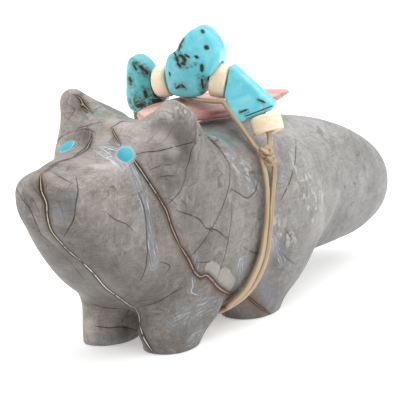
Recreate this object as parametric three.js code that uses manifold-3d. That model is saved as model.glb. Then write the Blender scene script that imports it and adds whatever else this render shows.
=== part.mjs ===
// A fox carved from one piece of veined stone, with a bundle tied on its back.
// The nose points to -Y and the tail to +Y. The soles of the feet lie on the plane z = 0.

import * as THREE from 'three';
import { mergeVertices } from 'three/addons/utils/BufferGeometryUtils.js';
import Module from 'manifold-3d';

const wasm = await Module();
wasm.setup();

// Driving sizes, in millimetres
const FOX_LENGTH = 90.4;
const EYE_DIAMETER = 2.1;
const EYE_DEPTH = 1.3;
const EYE_CROWN = 0.12;
const INLAY_GAP = 0.12;
const SINEW_DIAMETER = 0.72;
const BORE_CLEARANCE = 0.3;
const REST_GAP = 0.2;
const ROW_GAP = 0.25;
const KNOT_DIAMETER = 1.9;
const BLADE_LENGTH = 29.2;
const BLADE_WIDTH = 8.4;
const BLADE_THICKNESS = 1.9;
const BEAD_CHAMFER = 0.3;
const RIGHT_BEAD_DIAMETER = 4.4;
const RIGHT_BEAD_THICKNESS = 2.0;
const MIDDLE_BEAD_DIAMETER = 4.7;
const MIDDLE_BEAD_THICKNESS = 2.3;
const LEFT_BEAD_DIAMETER = 4.3;
const LEFT_BEAD_THICKNESS = 2.3;
const RIGHT_NUGGET_WIDTH = 5.2;
const RIGHT_NUGGET_HEIGHT = 7.6;
const RIGHT_NUGGET_DEPTH = 5.2;
const MIDDLE_NUGGET_WIDTH = 6.8;
const MIDDLE_NUGGET_HEIGHT = 9.9;
const MIDDLE_NUGGET_DEPTH = 6.2;
const LEFT_NUGGET_WIDTH = 7.0;
const LEFT_NUGGET_HEIGHT = 7.7;
const LEFT_NUGGET_DEPTH = 3.4;
// From the left nugget's bore to its front face, which keeps clear of the girth
const LEFT_NUGGET_FRONT = 0.95;

// The carving is drawn in units, this many from the nose to the tail, and scaled to its length.
const DRAWN_LENGTH = 90.4;
const UNIT = FOX_LENGTH / DRAWN_LENGTH;

// Mesh fineness: cell sizes on the fox in units, then steps and faces of the small pieces
const CELL_ACROSS = 1.74;
const CELL_AT_NOSE = 1.38;
const CELL_AT_TAIL = 2.7;
const CELL_MARGIN = 0.06;
const STRAND_STEPS = 56;
const STRAND_SIDES = 5;
const ROUND_SIDES = 16;
const BLADE_STEPS = 16;
const BLADE_SIDES = 12;
const BORE_STEPS = 6;
const BORE_QUARTER_SIDES = 2;
const NUGGET_DETAIL = 2;
const KNOT_DETAIL = 1;

// Profile of head, trunk and tail: pairs of distance from the nose plane and value, in units
const HALF_WIDTH = [[0.9, 3.2], [2.2, 4.4], [5, 5.2], [9, 6.3], [14, 7.6], [19, 8.8], [26, 10.0],
  [35, 10.5], [45, 10.6], [55, 10.2], [65, 9.2], [75, 8.6], [81, 8.2], [86, 6.9], [89.3, 4.6],
  [90.8, 2.3], [91.4, 0.6]];
const TOP = [[0.9, 25.4], [2.2, 26.0], [6, 26.3], [10, 27.2], [14, 28.0], [19, 29.4], [25, 29.6],
  [29, 28.7], [31.5, 27.6], [34, 26.6], [36, 26.2], [45, 26.2], [55, 25.3], [65, 23.8], [75, 21.6],
  [81, 19.6], [86, 17.2], [89.3, 14.8], [90.8, 12.8], [91.4, 11.4]];
const BOTTOM = [[0.9, 23.0], [2.2, 20.6], [5, 17.1], [9, 12.9], [14, 8.8], [19, 6.2], [25, 4.2],
  [35, 3.0], [45, 3.0], [55, 3.4], [65, 3.3], [75, 3.0], [81, 3.2], [86, 4.6], [89.3, 7.0],
  [90.8, 9.2], [91.4, 10.6]];
const TOP_SQUARENESS = [[0.9, 2.6], [5, 3.0], [12, 2.9], [20, 2.8], [26, 3.1], [30, 3.2], [34, 2.2],
  [44, 2.0], [55, 2.2], [91.4, 2.1]];
const BOTTOM_SQUARENESS = [[0.9, 2.6], [5, 3.0], [12, 2.9], [20, 2.6], [28, 2.8], [36, 3.2], [44, 2.8],
  [55, 2.3], [91.4, 2.1]];

// The nose is cut by a sloping plane: where it stands at a height, how much it leans, and its rim
const NOSE = { start: 1.15, height: 24.6, lean: 0.18, rim: 1.0 };

// Centre line of the brow ledge from the middle to one side: x, y, z and radius, in units
const BROW = [[0, 18.5, 28.6, 2.2], [3.2, 18.5, 28.5, 2.1], [6.0, 18.9, 27.2, 1.7],
  [7.6, 19.8, 25.2, 1.3]];

// The forehead over each eye: steep on the left, sloping on the right
const LEFT_FOREHEAD = { centre: [3.3, 15.9, 26.6], radii: [3.0, 2.6, 2.6], back: turn(0, 0, 0) };
const RIGHT_FOREHEAD = { centre: [-3.4, 17.2, 25.9], radii: [3.4, 4.2, 2.9], back: turn(0, 0, 0) };

// A broad pointed ear: a cone, thinner front to back than across, with a ridge down its back and
// a hollow scooped out in front
const EAR_THINNER = 1.2;
const EAR_CONE = { foot: [5.4, 21.8, 27.0], footRadius: 5.4, tip: [7.2, 20.2, 32.3], tipRadius: 1.5 };
const EAR_RIDGE = { foot: [6.8, 24.0, 28.2], footRadius: 3.1, tip: [7.2, 20.6, 31.6], tipRadius: 1.7 };
const EAR_HOLLOW = { centre: [9.6, 15.2, 30.6], radii: [2.2, 2.6, 4.6], back: turn(-8, 0, 28).transpose() };
const EAR_ROUND = { ridge: 1.0, rim: 1.2 };

const HAUNCH = { centre: [5.4, 49.9, 12.0], radii: [5.3, 9.8, 11.5], back: turn(30, 0, 0).transpose() };

// Each leg: where its sole lies and its half sizes, and how far it grows and leans up to its top
const FRONT_LEG = { sole: [4.5, 25.1], half: [3.2, 4.5], top: 10, grow: [0.3, 5.4], lean: [0, 3.6] };
const HIND_LEG = { sole: [5.1, 46.0], half: [3.5, 5.2], top: 12, grow: [1.4, 5.0], lean: [0.2, 3.8] };
const LEG_SQUARENESS = 2.2;
const LEG_ROUND = { top: 2.5, sole: 0.5 };
// The legs run on this far below the ground before they are cut off flat.
const LEG_SPARE = 1.5;

// How widely each form runs into the trunk
const BLEND = { haunch: 2.5, browParts: 0.6, brow: 1.6, forehead: 1.0, ear: 1.6, leg: 1.4 };

// A rounded-square form's distance is cut by these shares, so that it never runs ahead of the true one.
const TRUNK_SLACK = 0.8;
const EAR_SLACK = 0.9;
const LEG_SLACK = 0.9;

const LEFT_EYE_PLACE = [4.5, 13.6, 27.5];
const RIGHT_EYE_PLACE = [-4.15, 14.1, 27.7];

// The blade lies on the back: its middle, x and y in units, and its turn in degrees
const BLADE_PLACE = [-1.9, 48.8];
const BLADE_TURN = { yaw: -15, roll: 5 };
const BLADE_SQUARENESS = 2.6;
// Shares of the blade's width and thickness along its length, from the butt to the point
const BLADE_WIDTH_SHARE = [[-1, 0.25], [-0.86, 0.52], [-0.4, 0.93], [-0.1, 1], [0.35, 0.84],
  [0.75, 0.46], [1, 0.1]];
const BLADE_THICKNESS_SHARE = [[-1, 0.6], [-0.5, 0.95], [0, 1], [0.6, 0.8], [1, 0.25]];

// The girth runs in a curved sheet that stands at y = start where z = height and bends forward
// below it by bend times the square of the distance, down to z = low; in units
const GIRTH_SHEET = { start: 42.4, height: 25, bend: 0.0165, low: 3 };
// On the far side it drifts back behind the row: how far, and over which x and z
const GIRTH_DRIFT = { far: 4.8, from: 0, to: 8, low: 16, high: 27 };
// The point, x and z, where the stiff girth strand bends down in front of the row
const GIRTH_CREST = [2.9, 29.5];
// The middle of the loops, and how far from it they are looked for
const GIRTH_MIDDLE = 16;
const GIRTH_REACH = 24;
const GIRTH_RAYS = 160;
const GIRTH_POINTS = 96;
const STRAND_SPACE = 0.1;

// Where the bead string runs over the back, from the knot on the left flank: x, y and z in
// units, how much of the lift over the blade each point takes, and its least distance from
// the stone in millimetres
const BEAD_ROUTE = [[8.9, 44.1, 24.8, 0, KNOT_DIAMETER / 2],
  [8.1, 44.7, 26.7, 0, LEFT_BEAD_DIAMETER / 2],
  [7.4, 44.8, 28.2, 0.2, 0],
  [6.0, 44.8, 29.8, 0.5, 0],
  [4.6, 44.8, 30.8, 0.8, 0],
  [3.0, 44.6, 31.5, 1, 0],
  [1.0, 44.2, 31.9, 1, 0],
  [-0.8, 43.8, 32.0, 1, 0],
  [-2.6, 43.4, 31.9, 1, 0],
  [-7.5, 43.4, 31.1, 1, 0],
  [-10.2, 43.4, 30.3, 1, 0],
  [-12.5, 44.2, 29.8, 1, 0],
  [-12.9, 45.3, 28.4, 0.5, 0],
  [-12.3, 45.4, 24.0, 0, SINEW_DIAMETER / 2]];
// How far the row may settle up or down from the route
const LIFT_RANGE = 6;
// Below this height the bead string lies beside the girth strand.
const STRING_JOINS_GIRTH = 20.5;
const KNOT_PLACE = [10.1, 42.4, 22.9];
// The knot's second, lower lump: its size as a share, and its place from the first in knot radii
const KNOT_LUMP = { share: 0.84, from: [0, 0.3, -1.25] };
// The bead string from the knot to the left bead, and how deep beads bed into nuggets, in units
const STRING_TO_BEAD = 3.7;
const BEAD_BED = 0.3;
// How far a bore's cutter runs out of its nugget at each end
const BORE_SPARE = 1.5;

// Smooth curve through pairs of distance and value
function curveAt(distance, pairs) {
  const last = pairs.length - 1;
  const at = Math.min(Math.max(distance, pairs[0][0]), pairs[last][0]);
  let i = 0;
  while (i < last - 1 && at >= pairs[i + 1][0]) {
    i += 1;
  }
  const slope = (k) => (pairs[k + 1][1] - pairs[k][1]) / (pairs[k + 1][0] - pairs[k][0]);
  const tangent = (k) => {
    if (k === 0) {
      return slope(0);
    }
    if (k === last) {
      return slope(last - 1);
    }
    const before = pairs[k][0] - pairs[k - 1][0];
    const after = pairs[k + 1][0] - pairs[k][0];
    return (slope(k - 1) * after + slope(k) * before) / (before + after);
  };
  const step = pairs[i + 1][0] - pairs[i][0];
  const t = (at - pairs[i][0]) / step;
  return (1 + 2 * t) * (1 - t) ** 2 * pairs[i][1] + t * (1 - t) ** 2 * step * tangent(i)
    + t * t * (3 - 2 * t) * pairs[i + 1][1] + t * t * (t - 1) * step * tangent(i + 1);
}

// Least of two distances with the valley between them rounded
function blend(a, b, round) {
  const h = Math.min(Math.max(0.5 + (0.5 * (b - a)) / round, 0), 1);
  return b + (a - b) * h - round * h * (1 - h);
}

// Greatest of two distances with the edge between them rounded
function trim(a, b, round) {
  return -blend(-a, -b, round);
}

function turn(rx, ry, rz) {
  const deg = THREE.MathUtils.degToRad;
  return new THREE.Matrix4().makeRotationFromEuler(new THREE.Euler(deg(rx), deg(ry), deg(rz), 'ZYX'));
}

// Near distance to an ellipsoid; back turns a point into its own axes
function ellipsoid(x, y, z, { centre, radii, back }) {
  const q = new THREE.Vector3(x - centre[0], y - centre[1], z - centre[2]).applyMatrix4(back);
  const near = Math.hypot(q.x / radii[0], q.y / radii[1], q.z / radii[2]);
  const steep = Math.hypot(q.x / radii[0] ** 2, q.y / radii[1] ** 2, q.z / radii[2] ** 2);
  return (near * (near - 1)) / Math.max(steep, 1e-9);
}

// Distance to a round bar from a to b whose radius goes from startRadius to endRadius
function roundBar(x, y, z, a, b, startRadius, endRadius) {
  const along = [b[0] - a[0], b[1] - a[1], b[2] - a[2]];
  const length2 = along[0] ** 2 + along[1] ** 2 + along[2] ** 2;
  const dot = (x - a[0]) * along[0] + (y - a[1]) * along[1] + (z - a[2]) * along[2];
  const t = Math.min(Math.max(dot / length2, 0), 1);
  const reach = Math.hypot(x - a[0] - t * along[0], y - a[1] - t * along[1], z - a[2] - t * along[2]);
  return reach - startRadius - (endRadius - startRadius) * t;
}

// Head, trunk and tail in one: rounded-square sections along the length, with a sloping nose
function trunk(x, y, z) {
  const half = curveAt(y, HALF_WIDTH);
  const top = curveAt(y, TOP);
  const bottom = curveAt(y, BOTTOM);
  const height = (top - bottom) / 2;
  const middle = (top + bottom) / 2;
  const power = curveAt(y, z > middle ? TOP_SQUARENESS : BOTTOM_SQUARENESS);
  const ring = ((Math.abs(x) / half) ** power + (Math.abs(z - middle) / height) ** power) ** (1 / power);
  const side = (ring - 1) * Math.min(half, height) * TRUNK_SLACK;
  const nose = (NOSE.start - y - NOSE.lean * (z - NOSE.height)) / Math.hypot(1, NOSE.lean);
  const tail = y - HALF_WIDTH[HALF_WIDTH.length - 1][0];
  return Math.max(trim(side, nose, NOSE.rim), -y, tail);
}

function ear(x, y, z) {
  const squeeze = (place) => [place[0], place[1] * EAR_THINNER, place[2]];
  const cone = roundBar(...squeeze([x, y, z]), squeeze(EAR_CONE.foot), squeeze(EAR_CONE.tip),
    EAR_CONE.footRadius, EAR_CONE.tipRadius) * EAR_SLACK;
  const ridge = roundBar(x, y, z, EAR_RIDGE.tip, EAR_RIDGE.foot, EAR_RIDGE.tipRadius, EAR_RIDGE.footRadius);
  return trim(blend(cone, ridge, EAR_ROUND.ridge), -ellipsoid(x, y, z, EAR_HOLLOW), EAR_ROUND.rim);
}

function brow(x, y, z) {
  let nearest = Infinity;
  for (let i = 0; i + 1 < BROW.length; i += 1) {
    const bar = roundBar(x, y, z, BROW[i], BROW[i + 1], BROW[i][3], BROW[i + 1][3]);
    nearest = i === 0 ? bar : blend(nearest, bar, BLEND.browParts);
  }
  return nearest;
}

// A stub leg that widens upward from its sole
function leg(x, y, z, { sole, half, top, grow, lean }) {
  const up = Math.min(Math.max(z, 0), top) / top;
  const wide = half[0] + grow[0] * up;
  const long = half[1] + grow[1] * up;
  const across = Math.abs((x - sole[0] - lean[0] * up) / wide);
  const along = Math.abs((y - sole[1] - lean[1] * up) / long);
  const ring = (across ** LEG_SQUARENESS + along ** LEG_SQUARENESS) ** (1 / LEG_SQUARENESS);
  const wall = (ring - 1) * Math.min(wide, long) * LEG_SLACK;
  return trim(trim(wall, z - top, LEG_ROUND.top), -z - LEG_SPARE, LEG_ROUND.sole);
}

// Signed distance to the whole carving, in units; both sides are alike but for the forehead
function carving(xSigned, y, z) {
  const x = Math.abs(xSigned);
  const overEye = (shape) => ellipsoid(xSigned, y, z, shape);
  const forehead = Math.min(overEye(LEFT_FOREHEAD), overEye(RIGHT_FOREHEAD));
  let form = trunk(x, y, z);
  form = blend(form, ellipsoid(x, y, z, HAUNCH), BLEND.haunch);
  form = blend(form, brow(x, y, z), BLEND.brow);
  form = blend(form, forehead, BLEND.forehead);
  form = blend(form, ear(x, y, z), BLEND.ear);
  form = blend(form, leg(x, y, z, FRONT_LEG), BLEND.leg);
  return blend(form, leg(x, y, z, HIND_LEG), BLEND.leg);
}

// Signed distance to the stone at a point in millimetres
function stoneField(p) {
  return carving(p.x / UNIT, p.y / UNIT, p.z / UNIT) * UNIT;
}

// Direction in which a field grows fastest, from differences over a short step
function gradient(field, p) {
  const d = 0.05;
  const slope = (axis) => {
    const step = new THREE.Vector3().setComponent(axis, d);
    return field(p.clone().add(step)) - field(p.clone().sub(step));
  };
  return new THREE.Vector3(slope(0), slope(1), slope(2)).normalize();
}

// Moves a point along the slope of a field until it stands at the given distance
function standOff(field, start, distance) {
  const p = start.clone();
  for (let i = 0; i < 12; i += 1) {
    p.addScaledVector(gradient(field, p), distance - field(p));
  }
  return p;
}

// Lines of a grid from low to high whose spacing goes from first to last
function gridLines(low, high, first, last) {
  const lines = [low];
  while (lines[lines.length - 1] < high) {
    const share = (lines[lines.length - 1] - low) / (high - low);
    lines.push(lines[lines.length - 1] + first + (last - first) * Math.min(share, 1));
  }
  return lines;
}

// Closed surface of a field: one vertex in each grid cell that the surface crosses, drawn onto
// the surface, and two triangles across each grid edge that it crosses
function surfaceOf(field, xs, ys, zs) {
  const size = [xs.length, ys.length, zs.length];
  const node = (i, j, k) => (k * size[1] + j) * size[0] + i;
  const values = new Float64Array(size[0] * size[1] * size[2]);
  for (let k = 0; k < size[2]; k += 1) {
    for (let j = 0; j < size[1]; j += 1) {
      for (let i = 0; i < size[0]; i += 1) {
        values[node(i, j, k)] = field(new THREE.Vector3(xs[i], ys[j], zs[k]));
      }
    }
  }
  const cellVertex = new Map();
  const positions = [];
  for (let k = 0; k + 1 < size[2]; k += 1) {
    for (let j = 0; j + 1 < size[1]; j += 1) {
      for (let i = 0; i + 1 < size[0]; i += 1) {
        const vertex = crossingPoint(field, values, node, [i, j, k], [xs, ys, zs]);
        if (vertex) {
          cellVertex.set(node(i, j, k), positions.length / 3);
          positions.push(vertex.x, vertex.y, vertex.z);
        }
      }
    }
  }
  const triangles = [];
  const steps = [node(1, 0, 0), node(0, 1, 0), node(0, 0, 1)];
  for (let k = 1; k + 1 < size[2]; k += 1) {
    for (let j = 1; j + 1 < size[1]; j += 1) {
      for (let i = 1; i + 1 < size[0]; i += 1) {
        const here = node(i, j, k);
        for (let axis = 0; axis < 3; axis += 1) {
          const inside = values[here] < 0;
          if (inside !== values[here + steps[axis]] < 0) {
            const b = steps[(axis + 1) % 3];
            const c = steps[(axis + 2) % 3];
            const ring = [here - b - c, here - c, here, here - b].map((cell) => cellVertex.get(cell));
            addQuad(triangles, positions, inside ? ring : ring.reverse());
          }
        }
      }
    }
  }
  const geometry = new THREE.BufferGeometry();
  geometry.setAttribute('position', new THREE.Float32BufferAttribute(positions, 3));
  geometry.setIndex(triangles);
  return geometry;
}

// Splits a quad along its shorter diagonal
function addQuad(triangles, positions, [a, b, c, d]) {
  const apart = (m, n) => Math.hypot(positions[3 * m] - positions[3 * n],
    positions[3 * m + 1] - positions[3 * n + 1], positions[3 * m + 2] - positions[3 * n + 2]);
  if (apart(a, c) <= apart(b, d)) {
    triangles.push(a, b, c, a, c, d);
  } else {
    triangles.push(b, c, d, b, d, a);
  }
}

// Mean of the points where the surface crosses a cell's edges, then drawn onto the surface
function crossingPoint(field, values, node, [i, j, k], lines) {
  const corner = (n) => [i + (n & 1), j + ((n >> 1) & 1), k + ((n >> 2) & 1)];
  const place = (n) => new THREE.Vector3(...corner(n).map((index, axis) => lines[axis][index]));
  const sum = new THREE.Vector3();
  let count = 0;
  for (let n = 0; n < 8; n += 1) {
    for (let axis = 0; axis < 3; axis += 1) {
      const m = n | (1 << axis);
      if (m === n) {
        continue;
      }
      const start = values[node(...corner(n))];
      const end = values[node(...corner(m))];
      if (start < 0 !== end < 0) {
        sum.add(place(n).lerp(place(m), start / (start - end)));
        count += 1;
      }
    }
  }
  if (count === 0) {
    return null;
  }
  const point = sum.divideScalar(count);
  const low = place(0).lerp(place(7), CELL_MARGIN);
  const high = place(7).lerp(place(0), CELL_MARGIN);
  for (let step = 0; step < 3; step += 1) {
    point.addScaledVector(gradient(field, point), -field(point));
    point.clamp(low, high);
  }
  return point;
}

// Closed geometry to solid and back
function solidOf(geometry) {
  const bare = geometry.clone();
  bare.deleteAttribute('normal');
  bare.deleteAttribute('uv');
  const merged = mergeVertices(bare, 1e-4);
  const vertProperties = new Float32Array(merged.attributes.position.array);
  const triVerts = new Uint32Array(merged.index.array);
  return new wasm.Manifold(new wasm.Mesh({ numProp: 3, vertProperties, triVerts }));
}

function geometryOf(solid) {
  const { vertProperties, triVerts, numProp } = solid.getMesh();
  const positions = [];
  for (let i = 0; i < vertProperties.length; i += numProp) {
    positions.push(vertProperties[i], vertProperties[i + 1], vertProperties[i + 2]);
  }
  const geometry = new THREE.BufferGeometry();
  geometry.setAttribute('position', new THREE.Float32BufferAttribute(positions, 3));
  geometry.setIndex([...triVerts]);
  return geometry;
}

// Turns +Y of a lathed or round piece to a direction and moves it to a place
function placed(geometry, place, direction) {
  const turned = new THREE.Quaternion().setFromUnitVectors(new THREE.Vector3(0, 1, 0), direction);
  return geometry.clone().applyQuaternion(turned).translate(place.x, place.y, place.z);
}

function eyeSeat(side) {
  const guess = new THREE.Vector3(...(side > 0 ? LEFT_EYE_PLACE : RIGHT_EYE_PLACE)).multiplyScalar(UNIT);
  const place = standOff(stoneField, guess, 0);
  return { place, direction: gradient(stoneField, place) };
}

// A cutter for a round hole that a plug of this diameter and depth sits in
function socketCutter(diameter, depth) {
  const radius = diameter / 2 + INLAY_GAP;
  const inward = depth + INLAY_GAP;
  const outward = 2 * diameter;
  return new THREE.CylinderGeometry(radius, radius, outward + inward, ROUND_SIDES)
    .translate(0, (outward - inward) / 2, 0);
}

// The carved stone, cut off flat at its soles and drilled for its eyes
function foxStone() {
  const margin = 2 * CELL_ACROSS;
  const reach = [14, HALF_WIDTH[HALF_WIDTH.length - 1][0], 35];
  const side = Math.ceil(reach[0] / CELL_ACROSS) * CELL_ACROSS;
  const xs = gridLines(-side, side, CELL_ACROSS, CELL_ACROSS).map((v) => v * UNIT);
  const ys = gridLines(-margin, reach[1] + margin, CELL_AT_NOSE, CELL_AT_TAIL).map((v) => v * UNIT);
  const zs = gridLines(-margin, reach[2], CELL_ACROSS, CELL_ACROSS).map((v) => v * UNIT);
  let stone = solidOf(surfaceOf(stoneField, xs, ys, zs));
  const [wide, long, deep] = [4 * reach[0], 4 * reach[1], 4 * margin].map((v) => v * UNIT);
  stone = stone.subtract(solidOf(new THREE.BoxGeometry(wide, long, deep).translate(0, 0, -deep / 2)));
  for (const eye of [1, -1]) {
    const { place, direction } = eyeSeat(eye);
    stone = stone.subtract(solidOf(placed(socketCutter(EYE_DIAMETER, EYE_DEPTH), place, direction)));
  }
  return geometryOf(stone);
}

// A short round plug with a slightly domed face
function eyeInlay(side) {
  const { place, direction } = eyeSeat(side);
  const radius = EYE_DIAMETER / 2;
  const profile = [[0, -EYE_DEPTH], [radius, -EYE_DEPTH], [radius, 0], [radius * 0.6, EYE_CROWN * 0.7],
    [0, EYE_CROWN]];
  return placed(lathe(profile), place, direction);
}

function lathe(profile) {
  return new THREE.LatheGeometry(profile.map(([r, h]) => new THREE.Vector2(r, h)), ROUND_SIDES);
}

const BLADE_MATRIX = turn(0, 0, BLADE_TURN.yaw).multiply(turn(0, BLADE_TURN.roll, 0));

function bladeMiddle(height) {
  return new THREE.Vector3(BLADE_PLACE[0] * UNIT, BLADE_PLACE[1] * UNIT, height);
}

function bladeHalfSizes(along) {
  return [(BLADE_WIDTH / 2) * curveAt(along, BLADE_WIDTH_SHARE),
    (BLADE_THICKNESS / 2) * curveAt(along, BLADE_THICKNESS_SHARE)];
}

// A leaf-shaped blade, drawn out of a sphere: blunt at its edges, its point to +Y
function bladeGeometry(height) {
  const geometry = new THREE.SphereGeometry(1, BLADE_SIDES, BLADE_STEPS);
  const blunt = (share) => Math.sign(share) * Math.abs(share) ** (2 / BLADE_SQUARENESS);
  const at = geometry.attributes.position;
  for (let i = 0; i < at.count; i += 1) {
    const along = 1 - (2 / Math.PI) * Math.acos(THREE.MathUtils.clamp(at.getY(i), -1, 1));
    const round = Math.hypot(at.getX(i), at.getZ(i));
    const [halfWidth, halfThickness] = bladeHalfSizes(along);
    const atEnd = round < 1e-6;
    const across = atEnd ? 0 : blunt(at.getX(i) / round) * halfWidth;
    const up = atEnd ? 0 : blunt(at.getZ(i) / round) * halfThickness;
    at.setXYZ(i, across, (along * BLADE_LENGTH) / 2, up);
  }
  const middle = bladeMiddle(height);
  return geometry.applyMatrix4(BLADE_MATRIX).translate(middle.x, middle.y, middle.z);
}

// Signed distance to the blade when its middle stands at a height
function bladeField(p, height) {
  const q = p.clone().sub(bladeMiddle(height)).applyMatrix4(BLADE_MATRIX.clone().transpose());
  const [halfWidth, halfThickness] = bladeHalfSizes(THREE.MathUtils.clamp((2 * q.y) / BLADE_LENGTH, -1, 1));
  const across = Math.abs(q.x / halfWidth) ** BLADE_SQUARENESS;
  const up = Math.abs(q.z / halfThickness) ** BLADE_SQUARENESS;
  const lens = ((across + up) ** (1 / BLADE_SQUARENESS) - 1) * halfThickness;
  return Math.max(lens, Math.abs(q.y) - BLADE_LENGTH / 2);
}

// Least distance from a geometry's vertices to a field
function leastDistance(geometry, field) {
  const at = geometry.attributes.position;
  let least = Infinity;
  for (let i = 0; i < at.count; i += 1) {
    least = Math.min(least, field(new THREE.Vector3().fromBufferAttribute(at, i)));
  }
  return least;
}

// The lowest value between low and high at which a distance reaches the gap
function settle(low, high, distanceAt, gap) {
  let [down, up] = [low, high];
  for (let i = 0; i < 18; i += 1) {
    const middle = (down + up) / 2;
    if (distanceAt(middle) < gap) {
      down = middle;
    } else {
      up = middle;
    }
  }
  return up;
}

// The blade lies as low on the back as the gap lets it.
const bladeHeight = settle(GIRTH_MIDDLE * UNIT, 3 * GIRTH_MIDDLE * UNIT,
  (height) => leastDistance(bladeGeometry(height), stoneField), REST_GAP);

function girthY(x, z) {
  const { smoothstep } = THREE.MathUtils;
  const { start, height, bend, low } = GIRTH_SHEET;
  const drift = smoothstep(-x / UNIT, GIRTH_DRIFT.from, GIRTH_DRIFT.to)
    * smoothstep(z / UNIT, GIRTH_DRIFT.low, GIRTH_DRIFT.high);
  return (start - bend * (Math.max(z / UNIT, low) - height) ** 2 + GIRTH_DRIFT.far * drift) * UNIT;
}

// Outer hull of points in the x-z plane, anticlockwise, as a taut strand would lie
function tautHull(points) {
  const sorted = [...points].sort((a, b) => a.x - b.x || a.z - b.z);
  const half = (list) => {
    const kept = [];
    for (const p of list) {
      while (kept.length > 1) {
        const a = kept[kept.length - 2];
        const b = kept[kept.length - 1];
        if ((b.x - a.x) * (p.z - a.z) - (b.z - a.z) * (p.x - a.x) > 0) {
          break;
        }
        kept.pop();
      }
      kept.push(p);
    }
    return kept.slice(0, -1);
  };
  return [...half(sorted), ...half([...sorted].reverse())];
}

// Points of the girth strand: its section round stone and blade, pulled tight
function girthPoints() {
  const offset = SINEW_DIAMETER / 2 + REST_GAP;
  const field = (p) => Math.min(stoneField(p), bladeField(p, bladeHeight));
  const section = [];
  for (let i = 0; i < GIRTH_RAYS; i += 1) {
    const angle = (2 * Math.PI * i) / GIRTH_RAYS;
    const at = (reach) => {
      const x = reach * Math.cos(angle);
      const z = GIRTH_MIDDLE * UNIT + reach * Math.sin(angle);
      return new THREE.Vector3(x, girthY(x, z), z);
    };
    let reach = GIRTH_REACH * UNIT;
    while (field(at(reach)) > offset + 0.01) {
      reach -= Math.max((field(at(reach)) - offset) * 0.5, 0.005);
    }
    section.push(at(reach));
  }
  section.push(new THREE.Vector3(GIRTH_CREST[0] * UNIT, 0, GIRTH_CREST[1] * UNIT));
  const hull = tautHull(section);
  const loop = new THREE.CatmullRomCurve3([...hull, hull[0]], false, 'catmullrom', 0);
  return loop.getSpacedPoints(GIRTH_POINTS).slice(0, -1)
    .map((p) => new THREE.Vector3(p.x, girthY(p.x, p.z), p.z));
}

// A closed strand, bent out of a torus: its tube follows the curve
function strandAlong(curve) {
  const geometry = new THREE.TorusGeometry(10, 1, STRAND_SIDES, STRAND_STEPS);
  const at = geometry.attributes.position;
  const middle = new THREE.Vector3(0, girthY(0, GIRTH_MIDDLE * UNIT), GIRTH_MIDDLE * UNIT);
  for (let j = 0; j <= STRAND_SIDES; j += 1) {
    for (let i = 0; i <= STRAND_STEPS; i += 1) {
      const share = (i % STRAND_STEPS) / STRAND_STEPS;
      const centre = curve.getPointAt(share);
      const tangent = curve.getTangentAt(share);
      const outward = centre.clone().sub(middle);
      outward.addScaledVector(tangent, -outward.dot(tangent)).normalize();
      const sideways = outward.clone().cross(tangent);
      const angle = (2 * Math.PI * (j % STRAND_SIDES)) / STRAND_SIDES;
      centre.addScaledVector(outward, (Math.cos(angle) * SINEW_DIAMETER) / 2);
      centre.addScaledVector(sideways, (Math.sin(angle) * SINEW_DIAMETER) / 2);
      at.setXYZ(j * (STRAND_STEPS + 1) + i, centre.x, centre.y, centre.z);
    }
  }
  return geometry;
}

const girth = girthPoints();
const girthStrand = strandAlong(new THREE.CatmullRomCurve3(girth, true));
const knotPlace = standOff(stoneField, new THREE.Vector3(...KNOT_PLACE).multiplyScalar(UNIT),
  KNOT_DIAMETER / 2 + REST_GAP);

// Curve of the bead string: over the back with the given lift, then round the girth beside
// the first strand and back to the knot
function beadString(lift) {
  const over = BEAD_ROUTE.map(([x, y, z, share, clear]) => {
    const p = new THREE.Vector3(x * UNIT, y * UNIT, z * UNIT + lift * share);
    const stand = clear + REST_GAP;
    return stoneField(p) < stand ? standOff(stoneField, p, stand) : p;
  });
  const turnOf = (p) => {
    const angle = Math.atan2(p.z - GIRTH_MIDDLE * UNIT, p.x) - Math.PI / 2;
    return THREE.MathUtils.euclideanModulo(angle, 2 * Math.PI);
  };
  const under = girth.filter((p) => p.z < STRING_JOINS_GIRTH * UNIT)
    .sort((a, b) => turnOf(a) - turnOf(b))
    .map((p) => new THREE.Vector3(p.x, p.y + SINEW_DIAMETER + STRAND_SPACE, p.z));
  return new THREE.CatmullRomCurve3([knotPlace.clone(), ...over, ...under], true);
}

// Outlines of the three turquoise nuggets seen from the front, clockwise, as shares of half
// the width along the string and half the height
const RIGHT_OUTLINE = [[-0.85, 0.95], [-0.1, 1.1], [0.7, 0.6], [0.85, -0.1], [0.5, -0.92],
  [0.1, -1.05], [-0.75, -0.95], [-1.08, 0.1]];
const MIDDLE_OUTLINE = [[-0.1, 0.98], [0.4, 1.08], [1.0, 0.82], [1.35, 0.3], [1.35, -0.05],
  [0.45, -1.0], [-0.8, -1.02], [-1.12, -0.55], [-1.1, -0.1]];
const LEFT_OUTLINE = [[-0.85, 1.05], [-0.55, 1.1], [1.1, -0.36], [1.05, -0.55], [-0.16, -1.02],
  [-0.5, -0.85], [-0.95, 0.1]];

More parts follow.
